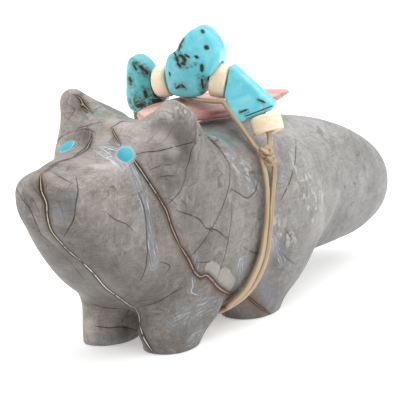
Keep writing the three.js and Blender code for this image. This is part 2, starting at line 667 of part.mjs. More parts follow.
// Each face is a direction and its distance from the middle as a share of half the depth. The
// middle lies from the bore by aside and above, shares of half the height, and so far behind it
// that the front face stands at front.
const LEFT_NUGGET = {
  name: 'turquoise_nugget_left',
  width: LEFT_NUGGET_WIDTH,
  height: LEFT_NUGGET_HEIGHT,
  depth: LEFT_NUGGET_DEPTH,
  front: LEFT_NUGGET_FRONT,
  outline: LEFT_OUTLINE,
  faces: [[0.15, -1, 0.2, 1], [0, 1, 0, 1]],
  aside: -0.12,
  above: 0,
  yaw: 18,
  round: 0.9,
  colour: 0x52c4d8,
};
const MIDDLE_NUGGET = {
  name: 'turquoise_nugget_middle',
  width: MIDDLE_NUGGET_WIDTH,
  height: MIDDLE_NUGGET_HEIGHT,
  depth: MIDDLE_NUGGET_DEPTH,
  front: MIDDLE_NUGGET_DEPTH / 2,
  outline: MIDDLE_OUTLINE,
  faces: [[0.1, -1, 0.25, 1], [-0.3, -1, -0.4, 1], [0.1, 1, 0.1, 1], [1, -0.3, -0.48, 1.1]],
  aside: 0,
  above: 0.54,
  yaw: 14,
  round: 1.7,
  colour: 0x3fbdd4,
};
const RIGHT_NUGGET = {
  name: 'turquoise_nugget_right',
  width: RIGHT_NUGGET_WIDTH,
  height: RIGHT_NUGGET_HEIGHT,
  depth: RIGHT_NUGGET_DEPTH,
  front: RIGHT_NUGGET_DEPTH / 2,
  outline: RIGHT_OUTLINE,
  faces: [[0.25, -1, 0.15, 1], [-0.5, -1, 0, 1], [0, 1, 0.1, 1]],
  aside: 0,
  above: 0.05,
  yaw: 14,
  round: 1.5,
  colour: 0x35a9bf,
};

// Signed distance to a nugget in its own frame: flat faces rounded into each other
function nuggetField(x, y, z, { outline, faces, width, height, depth, round }) {
  let form = -Infinity;
  outline.forEach(([shareX, shareZ], i) => {
    const next = outline[(i + 1) % outline.length];
    const start = [(shareX * width) / 2, (shareZ * height) / 2];
    const edge = [(next[0] * width) / 2 - start[0], (next[1] * height) / 2 - start[1]];
    const flat = (-edge[1] * (x - start[0]) + edge[0] * (z - start[1])) / Math.hypot(...edge);
    form = i === 0 ? flat : trim(form, flat, round);
  });
  for (const [nx, ny, nz, share] of faces) {
    const flat = (x * nx + y * ny + z * nz) / Math.hypot(nx, ny, nz) - (share * depth) / 2;
    form = trim(form, flat, round);
  }
  return form;
}

// From a nugget's bore to its middle, in its own frame
function nuggetMiddle({ aside, above, height, depth, front }) {
  return new THREE.Vector3((aside * height) / 2, depth / 2 - front, (above * height) / 2);
}

// A nugget blown up from a sphere: each vertex goes out until it meets the nugget's faces
function nuggetShape(nugget) {
  const geometry = new THREE.IcosahedronGeometry(1, NUGGET_DETAIL);
  const at = geometry.attributes.position;
  for (let i = 0; i < at.count; i += 1) {
    const way = new THREE.Vector3().fromBufferAttribute(at, i).normalize();
    const reach = settle(0, nugget.height, (r) => nuggetField(way.x * r, way.y * r, way.z * r, nugget), 0);
    at.setXYZ(i, way.x * reach, way.y * reach, way.z * reach);
  }
  const middle = nuggetMiddle(nugget);
  return geometry.translate(middle.x, middle.y, middle.z).applyMatrix4(turn(0, 0, nugget.yaw));
}

// Signed distance to a nugget that hangs on the string at a place
function hungNuggetField(p, nugget, place) {
  const q = p.clone().sub(place).applyMatrix4(turn(0, 0, nugget.yaw).transpose());
  q.sub(nuggetMiddle(nugget));
  return nuggetField(q.x, q.y, q.z, nugget);
}

// A drilled disc with chamfered rims; its hole passes the sinew with clearance
function beadShape({ diameter, thickness }) {
  const outer = diameter / 2;
  const bore = SINEW_DIAMETER / 2 + BORE_CLEARANCE;
  const half = thickness / 2;
  return lathe([[bore, -half], [outer - BEAD_CHAMFER, -half], [outer, BEAD_CHAMFER - half],
    [outer, half - BEAD_CHAMFER], [outer - BEAD_CHAMFER, half], [bore, half], [bore, -half]]);
}

const LEFT_BEAD = { name: 'shell_bead_left', diameter: LEFT_BEAD_DIAMETER, thickness: LEFT_BEAD_THICKNESS };
const MIDDLE_BEAD = { name: 'shell_bead_middle',
  diameter: MIDDLE_BEAD_DIAMETER,
  thickness: MIDDLE_BEAD_THICKNESS };
const RIGHT_BEAD = { name: 'shell_bead_right',
  diameter: RIGHT_BEAD_DIAMETER,
  thickness: RIGHT_BEAD_THICKNESS };

// The row along the string from the knot, and the space before each piece; where the space
// is less than nothing, the bead beds into a hollow of the nugget
const ROW = [
  { bead: LEFT_BEAD, shape: beadShape(LEFT_BEAD), space: STRING_TO_BEAD * UNIT },
  { nugget: LEFT_NUGGET, shape: nuggetShape(LEFT_NUGGET), space: -BEAD_BED * UNIT },
  { bead: MIDDLE_BEAD, shape: beadShape(MIDDLE_BEAD), space: -BEAD_BED * UNIT },
  { nugget: MIDDLE_NUGGET, shape: nuggetShape(MIDDLE_NUGGET), space: ROW_GAP },
  { bead: RIGHT_BEAD, shape: beadShape(RIGHT_BEAD), space: ROW_GAP },
  { nugget: RIGHT_NUGGET, shape: nuggetShape(RIGHT_NUGGET), space: ROW_GAP },
];
// The first pieces hang beside the knot, so only those after them rest on what is below.
const FIRST_RESTING = 2;

// Threads the row on the string. A bead starts where the string leaves the nugget before it,
// and a nugget hangs where the string enters it a space beyond the bead.
function threadRow(curve) {
  const length = curve.getLength();
  const pointAt = (along) => curve.getPointAt(THREE.MathUtils.clamp(along / length, 0, 1));
  let end = 0;
  return ROW.map((item) => {
    const start = end + item.space;
    let along;
    let place;
    let geometry;
    const direction = new THREE.Vector3();
    if (item.bead) {
      along = start + item.bead.thickness / 2;
      end = start + item.bead.thickness;
      place = pointAt(along);
      direction.copy(curve.getTangentAt(along / length));
      geometry = placed(item.shape, place, direction);
    } else {
      const { nugget } = item;
      const gate = pointAt(start);
      along = settle(start, start + nugget.width, (at) => hungNuggetField(gate, nugget, pointAt(at)), 0);
      place = pointAt(along);
      end = settle(along, along + nugget.width, (at) => hungNuggetField(pointAt(at), nugget, place), 0);
      geometry = item.shape.clone().translate(place.x, place.y, place.z);
    }
    return { ...item, start, end, place, direction, geometry };
  });
}

// What the row rests on: stone, blade and the girth strand over it
function underRow(p) {
  let least = Math.min(stoneField(p), bladeField(p, bladeHeight));
  for (const q of girth) {
    least = Math.min(least, p.distanceTo(q) - SINEW_DIAMETER / 2);
  }
  return least;
}

// How close the resting pieces come to what is below them when the string is lifted
function rowClearance(height) {
  const resting = threadRow(beadString(height)).slice(FIRST_RESTING);
  return Math.min(...resting.map((item) => leastDistance(item.geometry, underRow)));
}

const lift = settle(-LIFT_RANGE * UNIT, LIFT_RANGE * UNIT, rowClearance, REST_GAP);
const stringCurve = beadString(lift);
const row = threadRow(stringCurve);

// Drills a nugget along the string, with the sinew's clearance all round, and hollows it
// where a bead beds into it
function drilled(item) {
  const length = stringCurve.getLength();
  const stretch = [];
  for (let i = 0; i <= BORE_STEPS; i += 1) {
    const along = THREE.MathUtils.lerp(item.start - BORE_SPARE, item.end + BORE_SPARE, i / BORE_STEPS);
    stretch.push(stringCurve.getPointAt(along / length));
  }
  const circle = new THREE.Shape().absarc(0, 0, SINEW_DIAMETER / 2 + BORE_CLEARANCE, 0, 2 * Math.PI);
  const bore = new THREE.ExtrudeGeometry(circle, {
    steps: BORE_STEPS,
    curveSegments: 2 * BORE_QUARTER_SIDES,
    bevelEnabled: false,
    extrudePath: new THREE.CatmullRomCurve3(stretch),
  });
  let nugget = solidOf(item.geometry).subtract(solidOf(bore));
  for (const { bead, place, direction } of row.filter((other) => other.bead)) {
    const radius = bead.diameter / 2 + ROW_GAP;
    const seat = new THREE.CylinderGeometry(radius, radius, bead.thickness + 2 * ROW_GAP, ROUND_SIDES);
    nugget = nugget.subtract(solidOf(placed(seat, place, direction)));
  }
  return geometryOf(nugget);
}

// The whole sinew in one: both turns of the girth and the two lumps of the knot
function sinewTie() {
  const lump = (place, radius) => solidOf(
    new THREE.IcosahedronGeometry(radius, KNOT_DETAIL).translate(place.x, place.y, place.z),
  );
  const radius = KNOT_DIAMETER / 2;
  const lowerRadius = radius * KNOT_LUMP.share;
  const below = knotPlace.clone().addScaledVector(new THREE.Vector3(...KNOT_LUMP.from), radius);
  const lowerPlace = standOff(stoneField, below, lowerRadius + REST_GAP);
  const tie = solidOf(girthStrand).add(solidOf(strandAlong(stringCurve)));
  return geometryOf(tie.add(lump(knotPlace, radius)).add(lump(lowerPlace, lowerRadius)));
}

const group = new THREE.Group();

function addPiece(name, geometry, colour, roughness) {
  geometry.computeVertexNormals();
  const material = new THREE.MeshStandardMaterial({ color: colour, roughness, metalness: 0 });
  const mesh = new THREE.Mesh(geometry, material);
  mesh.name = name;
  group.add(mesh);
}

addPiece('carved_fox', foxStone(), 0x96918c, 0.3);
addPiece('left_eye_inlay', eyeInlay(1), 0x4cc7dc, 0.3);
addPiece('right_eye_inlay', eyeInlay(-1), 0x4cc7dc, 0.3);
addPiece('shell_arrowhead', bladeGeometry(bladeHeight), 0xc88c85, 0.35);
for (const item of row) {
  if (item.bead) {
    addPiece(item.bead.name, item.geometry, 0xf0dfc0, 0.4);
  } else {
    addPiece(item.nugget.name, drilled(item), item.nugget.colour, 0.35);
  }
}
addPiece('sinew_tie', sinewTie(), 0xc3a37c, 0.6);

// The origin is below the middle of the whole part, on the plane it stands on.
const box = new THREE.Box3().setFromObject(group);
const middle = box.getCenter(new THREE.Vector3());
group.position.set(-middle.x, -middle.y, -box.min.z);

export default group;
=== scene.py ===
"""A small fox carved from veined stone, with turquoise, shell and sinew tied on its back.

The shapes are worked out in millimetres in the carving's own drawing: x to the fox's left, y from
the nose to the tail, z up from the soles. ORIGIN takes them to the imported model's frame.
"""

import math

import bpy
import numpy as np
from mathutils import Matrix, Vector


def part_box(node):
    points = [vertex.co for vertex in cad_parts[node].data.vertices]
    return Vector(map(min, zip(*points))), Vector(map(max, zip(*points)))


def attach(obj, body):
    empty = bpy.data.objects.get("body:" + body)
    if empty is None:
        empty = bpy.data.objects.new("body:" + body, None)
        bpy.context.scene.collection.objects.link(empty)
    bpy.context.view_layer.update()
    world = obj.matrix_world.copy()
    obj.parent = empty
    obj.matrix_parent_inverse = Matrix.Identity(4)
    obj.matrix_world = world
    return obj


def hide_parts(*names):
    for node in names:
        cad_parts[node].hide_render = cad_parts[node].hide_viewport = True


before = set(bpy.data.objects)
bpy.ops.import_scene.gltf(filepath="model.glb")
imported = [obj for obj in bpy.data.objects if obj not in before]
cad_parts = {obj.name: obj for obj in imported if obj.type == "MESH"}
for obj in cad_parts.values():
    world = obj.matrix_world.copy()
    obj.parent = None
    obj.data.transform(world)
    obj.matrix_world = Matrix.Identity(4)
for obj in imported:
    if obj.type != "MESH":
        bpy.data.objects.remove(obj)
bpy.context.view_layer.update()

MM = 0.001
# Where the drawing's origin lies in the model's frame, in millimetres
ORIGIN = np.array([0.7565, -46.3922, 0.0])
# Cell of the fine meshes, in millimetres
FOX_CELL = 0.32
NUGGET_CELL = 0.14
# Box in the drawing that holds the stone
FOX_LOW = (-15.0, -1.0, -1.2)
FOX_HIGH = (15.0, 93.0, 36.0)

# The photograph's camera: degrees, millimetres and pixels of a 400 pixel wide frame
CAMERA_AZIMUTH = 29.0
CAMERA_ELEVATION = 12.5
CAMERA_DISTANCE = 360.0
CAMERA_TARGET = np.array([0.0, 40.9, 16.0])
FRAME_PIXELS = 400
FOCAL_PIXELS = 2667.0
SENSOR = 36.0
# Reach in depth, either side of the target, in which the object lies
VIEW_DEPTH = 70.0
# A longer step in a drawn line is a jump over an edge, where the line breaks
LINE_BREAK = 2.0

# Studio, in metres and watts: lights by name, place, size and power
LIGHTS = [("overhead", (0.16, 0.22, 0.75), 1.3, 7.5), ("side", (-0.5, -0.3, 0.35), 0.3, 0.8)]
LIGHT_TARGET = (0, 0, 0.02)
WORLD_STRENGTH = 0.75
FLOOR_REACH = 6.0
FLOOR_GLOW = 0.35

# Sizes of the small pieces, in millimetres
EYE_DIAMETER = 2.22
SINEW_DIAMETER = 0.72
REST_GAP = 0.2
KNOT_DIAMETER = 1.9
BLADE_LENGTH = 29.2
BLADE_WIDTH = 8.4
BLADE_THICKNESS = 1.9
# The shown blade against the solid: share of its length, swelling and lift
BLADE_SHOWN = 0.97
BLADE_SWELL = 1.06
BLADE_LIFT = 0.15

# Profile of head, trunk and tail: pairs of distance from the nose plane and value
HALF_WIDTH = [[0.9, 3.2], [2.2, 4.4], [5, 5.2], [9, 6.3], [14, 7.6], [19, 8.8], [26, 10.0],
              [35, 10.5], [45, 10.6], [55, 10.2], [65, 9.2], [75, 8.6], [81, 8.2], [86, 6.9],
              [89.3, 4.6], [90.8, 2.3], [91.4, 0.6]]
TOP = [[0.9, 25.4], [2.2, 26.0], [6, 26.3], [10, 27.2], [14, 28.0], [19, 29.4], [25, 29.6],
       [29, 28.7], [31.5, 27.6], [34, 26.6], [36, 26.2], [45, 26.2], [55, 25.3], [65, 23.8],
       [75, 21.6], [81, 19.6], [86, 17.2], [89.3, 14.8], [90.8, 12.8], [91.4, 11.4]]
BOTTOM = [[0.9, 23.0], [2.2, 20.6], [5, 17.1], [9, 12.9], [14, 8.8], [19, 6.2], [25, 4.2],
          [35, 3.0], [45, 3.0], [55, 3.4], [65, 3.3], [75, 3.0], [81, 3.2], [86, 4.6], [89.3, 7.0],
          [90.8, 9.2], [91.4, 10.6]]
TOP_SQUARENESS = [[0.9, 2.6], [5, 3.0], [12, 2.9], [20, 2.8], [26, 3.1], [30, 3.2], [34, 2.2],
                  [44, 2.0], [55, 2.2], [91.4, 2.1]]
BOTTOM_SQUARENESS = [[0.9, 2.6], [5, 3.0], [12, 2.9], [20, 2.6], [28, 2.8], [36, 3.2], [44, 2.8],
                     [55, 2.3], [91.4, 2.1]]


def turn(rx, ry, rz):
    """Rotation about X, then Y, then Z, in degrees."""
    a, b, c = np.radians([rx, ry, rz])
    about_x = np.array([[1, 0, 0], [0, math.cos(a), -math.sin(a)], [0, math.sin(a), math.cos(a)]])
    about_y = np.array([[math.cos(b), 0, math.sin(b)], [0, 1, 0], [-math.sin(b), 0, math.cos(b)]])
    about_z = np.array([[math.cos(c), -math.sin(c), 0], [math.sin(c), math.cos(c), 0], [0, 0, 1]])
    return about_z @ about_y @ about_x


# Forms of the head and legs. Bars: places and radii. Ellipsoids: middle, half sizes and turn.
NOSE = {"start": 1.15, "height": 24.6, "lean": 0.18, "rim": 1.0}
BROW = [[0, 18.5, 28.6, 2.2], [3.2, 18.5, 28.5, 2.1], [6.0, 18.9, 27.2, 1.7], [7.6, 19.8, 25.2, 1.3]]
LEFT_FOREHEAD = ((3.3, 15.9, 26.6), (3.0, 2.6, 2.6), turn(0, 0, 0))
RIGHT_FOREHEAD = ((-3.4, 17.2, 25.9), (3.4, 4.2, 2.9), turn(0, 0, 0))
EAR_THINNER = 1.2
EAR_CONE = ((5.4, 21.8, 27.0), (7.2, 20.2, 32.3), 5.4, 1.5)
EAR_RIDGE = ((7.2, 20.6, 31.6), (6.8, 24.0, 28.2), 1.7, 3.1)
EAR_HOLLOW = ((9.6, 15.2, 30.6), (2.2, 2.6, 4.6), turn(-8, 0, 28).T)
HAUNCH = ((5.4, 49.9, 12.0), (5.3, 9.8, 11.5), turn(30, 0, 0).T)
FRONT_LEG = {"sole": (4.5, 25.1), "half": (3.2, 4.5), "top": 10, "grow": (0.3, 5.4), "lean": (0, 3.6)}
HIND_LEG = {"sole": (5.1, 46.0), "half": (3.5, 5.2), "top": 12, "grow": (1.4, 5.0), "lean": (0.2, 3.8)}
LEG_SQUARENESS = 2.2
EYE_PLACES = {"left": (4.5, 13.6, 27.5), "right": (-3.95, 14.0, 27.35)}

# The blade: where it lies, its section, and shares of its width and thickness along it
BLADE_PLACE = (-1.9, 48.8)
BLADE_HEIGHT = 27.53
BLADE_SQUARENESS = 2.6
BLADE_WIDTH_SHARE = [[-1, 0.25], [-0.86, 0.52], [-0.4, 0.93], [-0.1, 1], [0.35, 0.84], [0.75, 0.46],
                     [1, 0.1]]
BLADE_THICKNESS_SHARE = [[-1, 0.6], [-0.5, 0.95], [0, 1], [0.6, 0.8], [1, 0.25]]
BLADE_MATRIX = turn(0, 0, -15) @ turn(0, 5, 0)

# The girth strand lies in a bent sheet that drifts back on the far side
GIRTH_SHEET = {"start": 42.4, "height": 25, "bend": 0.0165, "low": 3}
GIRTH_DRIFT = {"far": 4.8, "from": 0, "to": 8, "low": 16, "high": 27}
GIRTH_CREST = (2.9, 29.5)
GIRTH_MIDDLE = 16
GIRTH_REACH = 24
GIRTH_RAYS = 160
STRAND_SPACE = 0.1
# Points of the string over the back: place, share of the lift and least distance from the stone
BEAD_ROUTE = [(8.9, 44.1, 24.8, 0, 0.95), (8.1, 44.7, 26.7, 0, 2.15), (7.4, 44.8, 28.2, 0.2, 0),
              (6.0, 44.8, 29.8, 0.5, 0), (4.6, 44.8, 30.8, 0.8, 0), (3.0, 44.6, 31.5, 1, 0),
              (1.0, 44.2, 31.9, 1, 0), (-0.8, 43.8, 32.0, 1, 0), (-2.6, 43.4, 31.9, 1, 0),
              (-7.5, 43.4, 31.1, 1, 0), (-10.2, 43.4, 30.3, 1, 0), (-12.5, 44.2, 29.8, 1, 0),
              (-12.9, 45.3, 28.4, 0.5, 0), (-12.3, 45.4, 24.0, 0, 0.36)]
STRING_JOINS_GIRTH = 20.5
STRING_LIFT = 0.1
# Where the two strands show on the near side: pixels down and across
GIRTH_DRAWN = [[145, 256.5], [160, 262.5], [175, 265.5], [190, 267], [207, 266.3], [225, 265],
               [245, 262.5], [255, 260.5], [265, 257], [275, 252.5], [285, 247], [293, 240],
               [300, 232], [306, 222]]
STRING_DRAWN = [[160, 274.5], [180, 274], [190, 273], [207, 270.8], [225, 269.8], [245, 267.5],
                [255, 265.8], [265, 263], [275, 258.7], [285, 253], [293, 246], [300, 238], [306, 228]]
KNOT_PLACE = (10.1, 42.4, 22.9)
# Its two loops: height along the strand, radius and start angle
KNOT_LOOPS = [(0.85, 0.62, 0.3), (-0.45, 0.5, 2.2)]
# Half width of the strands, what they widen by low on the side, and their thickness to width
STRAND_HALF = 0.42
STRAND_WIDENING = 0.14
STRAND_FLATNESS = 0.72
STRAND_SIDES = 12
# Beads and nuggets of the row, from the knot to the far side
ROW = ("left", "middle", "right")
# Disc beads: diameter, thickness and the way they face
BEADS = {"left": (4.3, 2.3, (0, 0, 1)), "middle": (4.7, 2.3, (-1, 0, 0)), "right": (4.4, 2.0, (-1, 0, 0))}
BEAD_BORE = SINEW_DIAMETER / 2 + 0.3
BEAD_CHAMFER = 0.2
BEAD_WORN = 0.42
BEAD_SEAT_GAP = 0.25


# Fields: signed distances, negative inside

def curve_at(distance, pairs):
    """Smooth curve through pairs of distance and value."""
    x, y = np.array(pairs, float).T
    at = np.clip(distance, x[0], x[-1])
    i = np.clip(np.searchsorted(x, at, side="right") - 1, 0, len(x) - 2)
    step = np.diff(x)
    steep = np.diff(y) / step
    tangent = np.concatenate([steep[:1], steep])
    tangent[1:-1] = (steep[:-1] * step[1:] + steep[1:] * step[:-1]) / (step[:-1] + step[1:])
    t = (at - x[i]) / step[i]
    return ((1 + 2 * t) * (1 - t) ** 2 * y[i] + t * (1 - t) ** 2 * step[i] * tangent[i]
            + t * t * (3 - 2 * t) * y[i + 1] + t * t * (t - 1) * step[i] * tangent[i + 1])


def blend(a, b, radius):
    """Least of two distances with the valley between them rounded."""
    h = np.clip(0.5 + 0.5 * (b - a) / radius, 0, 1)
    return b + (a - b) * h - radius * h * (1 - h)


def trim(a, b, radius):
    """Greatest of two distances with the edge between them rounded."""
    return -blend(-a, -b, radius)


def smoothstep(value, low, high):
    t = np.clip((value - low) / (high - low), 0, 1)
    return t * t * (3 - 2 * t)


def turned(matrix, x, y, z):
    """A matrix times places whose coordinates are arrays of any shape."""
    return [row[0] * x + row[1] * y + row[2] * z for row in matrix]


def ellipsoid(x, y, z, shape):
    """Distance, nearly, to an ellipsoid: its middle, half sizes and a turn into its own frame."""
    centre, radii, back = shape
    q = turned(back, x - centre[0], y - centre[1], z - centre[2])
    near = np.sqrt(sum((q[i] / radii[i]) ** 2 for i in range(3)))
    steep = np.sqrt(sum((q[i] / radii[i] ** 2) ** 2 for i in range(3)))
    return near * (near - 1) / np.maximum(steep, 1e-9)


def round_bar(x, y, z, a, b, start_radius, end_radius):
    """Distance to a round bar from a to b with a radius at each end."""
    along = [b[i] - a[i] for i in range(3)]
    length2 = sum(v * v for v in along)
    t = np.clip(((x - a[0]) * along[0] + (y - a[1]) * along[1] + (z - a[2]) * along[2]) / length2, 0, 1)
    reach = np.sqrt((x - a[0] - t * along[0]) ** 2 + (y - a[1] - t * along[1]) ** 2
                    + (z - a[2] - t * along[2]) ** 2)
    return reach - start_radius - (end_radius - start_radius) * t


def trunk(x, y, z):
    """Head, body and tail: one section that changes along the profile, cut off at the nose."""
    half = curve_at(y, HALF_WIDTH)
    top = curve_at(y, TOP)
    bottom = curve_at(y, BOTTOM)
    height = (top - bottom) / 2
    middle = (top + bottom) / 2
    power = np.where(z > middle, curve_at(y, TOP_SQUARENESS), curve_at(y, BOTTOM_SQUARENESS))
    ring = ((np.abs(x) / half) ** power + (np.abs(z - middle) / height) ** power) ** (1 / power)
    side = (ring - 1) * np.minimum(half, height) * 0.8
    nose = (NOSE["start"] - y - NOSE["lean"] * (z - NOSE["height"])) / math.hypot(1, NOSE["lean"])
    return np.maximum(np.maximum(trim(side, nose, NOSE["rim"]), -y), y - HALF_WIDTH[-1][0])


def ear(x, y, z):
    """A cone flattened front to back, with a ridge behind it and a hollow in front."""
    foot, tip, foot_radius, tip_radius = EAR_CONE
    foot, tip = ((px, py * EAR_THINNER, pz) for px, py, pz in (foot, tip))
    cone = round_bar(x, y * EAR_THINNER, z, foot, tip, foot_radius, tip_radius) * 0.9
    ridge = round_bar(x, y, z, *EAR_RIDGE)
    return trim(blend(cone, ridge, 1.0), -ellipsoid(x, y, z, EAR_HOLLOW), 1.2)


def brow(x, y, z):
    bars = [round_bar(x, y, z, BROW[i], BROW[i + 1], BROW[i][3], BROW[i + 1][3]) for i in range(3)]
    return blend(blend(bars[0], bars[1], 0.6), bars[2], 0.6)


def leg(x, y, z, shape):
    """A stub that widens and leans from its sole up."""
    sole, half, top, grow, lean = (shape[key] for key in ("sole", "half", "top", "grow", "lean"))
    up = np.clip(z, 0, top) / top
    wide = half[0] + grow[0] * up
    long = half[1] + grow[1] * up
    across = np.abs((x - sole[0] - lean[0] * up) / wide)
    along = np.abs((y - sole[1] - lean[1] * up) / long)
    ring = (across ** LEG_SQUARENESS + along ** LEG_SQUARENESS) ** (1 / LEG_SQUARENESS)
    wall = (ring - 1) * np.minimum(wide, long) * 0.9
    return trim(trim(wall, z - top, 2.5), -z - 1.5, 0.5)


def carving(x_signed, y, z):
    """Signed distance to the whole carving; both sides are alike but for the forehead."""
    x = np.abs(x_signed)
    forehead = np.minimum(ellipsoid(x_signed, y, z, LEFT_FOREHEAD),
                          ellipsoid(x_signed, y, z, RIGHT_FOREHEAD))
    form = trunk(x, y, z)
    form = blend(form, ellipsoid(x, y, z, HAUNCH), 2.5)
    form = blend(form, brow(x, y, z), 1.6)
    form = blend(form, forehead, 1.0)
    form = blend(form, ear(x, y, z), 1.6)
    form = blend(form, leg(x, y, z, FRONT_LEG), 1.4)
    return blend(form, leg(x, y, z, HIND_LEG), 1.4)


def slope(field, points):
    """Direction in which a field grows fastest, one row for each point."""
    h = 0.02
    parts = []
    for axis in range(3):
        step = np.eye(3)[axis] * h
        parts.append(field(*(points + step).T) - field(*(points - step).T))
    grown = np.stack(parts, 1)
    return grown / np.maximum(np.linalg.norm(grown, axis=1, keepdims=True), 1e-12)


def stand_off(field, points, distance):
    """Points moved along the slope of a field until they stand at a distance."""
    points = np.array(points, float).reshape(-1, 3)
    for _ in range(8):
        points = points + slope(field, points) * (distance - field(*points.T))[:, None]
    return points


# Surfaces of fields

def surface(field, low, high, cell):
    """Vertices and quads of a field's closed surface, one vertex in each cell that it crosses."""
    lines = [np.arange(low[a], high[a] + cell, cell) for a in range(3)]
    xs, ys, zs = np.meshgrid(*lines, indexing="ij", sparse=True)
    value = field(xs, ys, zs) + np.zeros([len(line) for line in lines])
    inside = value < 0
    corners = [(n & 1, (n >> 1) & 1, (n >> 2) & 1) for n in range(8)]
    shape = [n - 1 for n in value.shape]
    count = sum(inside[i:i + shape[0], j:j + shape[1], k:k + shape[2]].astype(np.int8)
                for i, j, k in corners)
    cells = np.argwhere((count > 0) & (count < 8))
    index = np.full(shape, -1)
    index[tuple(cells.T)] = np.arange(len(cells))
    at = [value[tuple((cells + corner).T)] for corner in corners]
    start = np.array([line[0] for line in lines]) + cells * cell
    total = np.zeros((len(cells), 3))
    hits = np.zeros(len(cells))
    for n in range(8):
        for axis in range(3):
            m = n | (1 << axis)
            if m == n:
                continue
            cross = (at[n] < 0) != (at[m] < 0)
            share = at[n] / np.where(cross, at[n] - at[m], 1)
            place = start + (np.array(corners[n]) + share[:, None] * np.eye(3)[axis]) * cell
            total += np.where(cross[:, None], place, 0)
            hits += cross
    points = total / hits[:, None]
    for _ in range(3):
        points = points - slope(field, points) * field(*points.T)[:, None]
        points = np.clip(points, start + 0.03 * cell, start + 0.97 * cell)
    quads = [crossed_edges(inside, index, axis) for axis in range(3)]
    return points, np.concatenate(quads)


def crossed_edges(inside, index, axis):
    """A quad of cells round each grid edge along an axis that the surface crosses."""
    here = [slice(1, -1)] * 3
    ahead = list(here)
    ahead[axis] = slice(2, None)
    nodes = np.argwhere(inside[tuple(here)] != inside[tuple(ahead)]) + 1
    b = np.eye(3, dtype=int)[(axis + 1) % 3]
    c = np.eye(3, dtype=int)[(axis + 2) % 3]
    ring = np.stack([index[tuple((nodes - shift).T)] for shift in (b + c, c, 0 * b, b)], 1)
    outward = inside[tuple(nodes.T)]
    return np.where(outward[:, None], ring, ring[:, ::-1])


def mesh_object(name, points, faces):
    """A mesh object in the model's frame from points in the drawing."""
    mesh = bpy.data.meshes.new(name)
    placed = (np.asarray(points) + ORIGIN) * MM
    faces = np.asarray(faces)
    mesh.vertices.add(len(placed))
    mesh.vertices.foreach_set("co", placed.astype(np.float32).ravel())
    sides = faces.shape[1]
    mesh.loops.add(faces.size)
    mesh.loops.foreach_set("vertex_index", faces.astype(np.int32).ravel())
    mesh.polygons.add(len(faces))
    mesh.polygons.foreach_set("loop_start", np.arange(0, faces.size, sides, dtype=np.int32))
    mesh.update(calc_edges=True)
    mesh.validate()
    mesh.polygons.foreach_set("use_smooth", np.full(len(mesh.polygons), True))
    made = bpy.data.objects.new(name, mesh)
    bpy.context.scene.collection.objects.link(made)
    return made


def set_values(made, name, values):
    """Stores one number for each vertex, for the materials to read."""
    attribute = made.data.attributes.new(name, "FLOAT", "POINT")
    attribute.data.foreach_set("value", np.asarray(values, np.float32))


# The photograph's camera, and places on the object seen at its pixels

def camera_axes():
    a, e = math.radians(CAMERA_AZIMUTH), math.radians(CAMERA_ELEVATION)
    back = np.array([math.sin(a) * math.cos(e), -math.cos(a) * math.cos(e), math.sin(e)])
    right = np.array([math.cos(a), math.sin(a), 0.0])
    return right, np.cross(back, right), back


def rays_through(pixels):
    """The camera's place, and directions from it through pixels of the photograph."""
    right, up, back = camera_axes()
    pixels = np.array(pixels, float).reshape(-1, 2)
    across = (pixels[:, 0] - FRAME_PIXELS / 2) / FOCAL_PIXELS
    rise = (FRAME_PIXELS / 2 - pixels[:, 1]) / FOCAL_PIXELS
    return CAMERA_TARGET + back * CAMERA_DISTANCE, -back + across[:, None] * right + rise[:, None] * up


def seen_at(field, pixels):
    """Where the rays through pixels of the photograph first meet a field; misses are left out."""
    eye, rays = rays_through(pixels)
    rays /= np.linalg.norm(rays, axis=1, keepdims=True)
    far = np.full(len(rays), CAMERA_DISTANCE - VIEW_DEPTH)
    going = np.arange(len(rays))
    for _ in range(400):
        height = field(*(eye + rays[going] * far[going, None]).T)
        keep = (height > 0.003) & (far[going] < CAMERA_DISTANCE + VIEW_DEPTH)
        going, height = going[keep], height[keep]
        if not len(going):
            break
        far[going] += np.maximum(height * 0.6, 0.004)
    return (eye + rays * far[:, None])[far < CAMERA_DISTANCE + VIEW_DEPTH]


def pixel_line(pixels, step=1.5):
    """Even points along a smooth line through pixels."""
    pixels = np.array(pixels, float).reshape(-1, 2)
    if len(pixels) < 2:
        return pixels
    flat = np.concatenate([pixels, np.zeros((len(pixels), 1))], 1)
    return evenly(spline(flat, False, 8), step, False)[:, :2]


def line_distances(points, normals, marks, taper=False):
    """Distance to the nearest mark and its signed side as multiples of its width, the plain
    distance, and how far along the mark the nearest place lies."""
    near, side, plain = np.full((3, len(points)), 50.0)
    run = np.zeros(len(points))
    for width, line in marks:
        passed = 0.0
        reach = max(4 * width, 2.4 * FOX_CELL + 0.4)
        inside = np.all((points > line.min(0) - reach) & (points < line.max(0) + reach), axis=1)
        close = np.where(inside)[0]
        ends = list(zip(line[:-1], line[1:])) or [(line[0], line[0])]
        for k, (a, b) in enumerate(ends):
            along = b - a
            length2 = max(along @ along, 1e-12)
            passed += math.sqrt(length2)
            if length2 > LINE_BREAK ** 2:
                continue
            pick = close[np.all(np.abs(points[close] - (a + b) / 2) < reach + 1.0, axis=1)]
            rest = points[pick] - a
            t = np.clip(rest @ along / length2, 0, 1)
            gap = rest - t[:, None] * along
            end = min(k, len(ends) - 1 - k)
            here = width * (min(1.0, 0.4 + 0.1 * end) if taper else 1.0)
            reached = np.linalg.norm(gap, axis=1)
            better = reached < near[pick] * here
            pick, gap, reached = pick[better], gap[better], reached[better]
            run[pick] = passed - (1 - t[better]) * math.sqrt(length2)
            near[pick] = reached / here
            plain[pick] = reached
            leaning = np.einsum("ij,ij->i", np.cross(along, normals[pick]), gap)
            side[pick] = near[pick] * np.where(leaning < 0, -1, 1)
    return near, side, plain, run


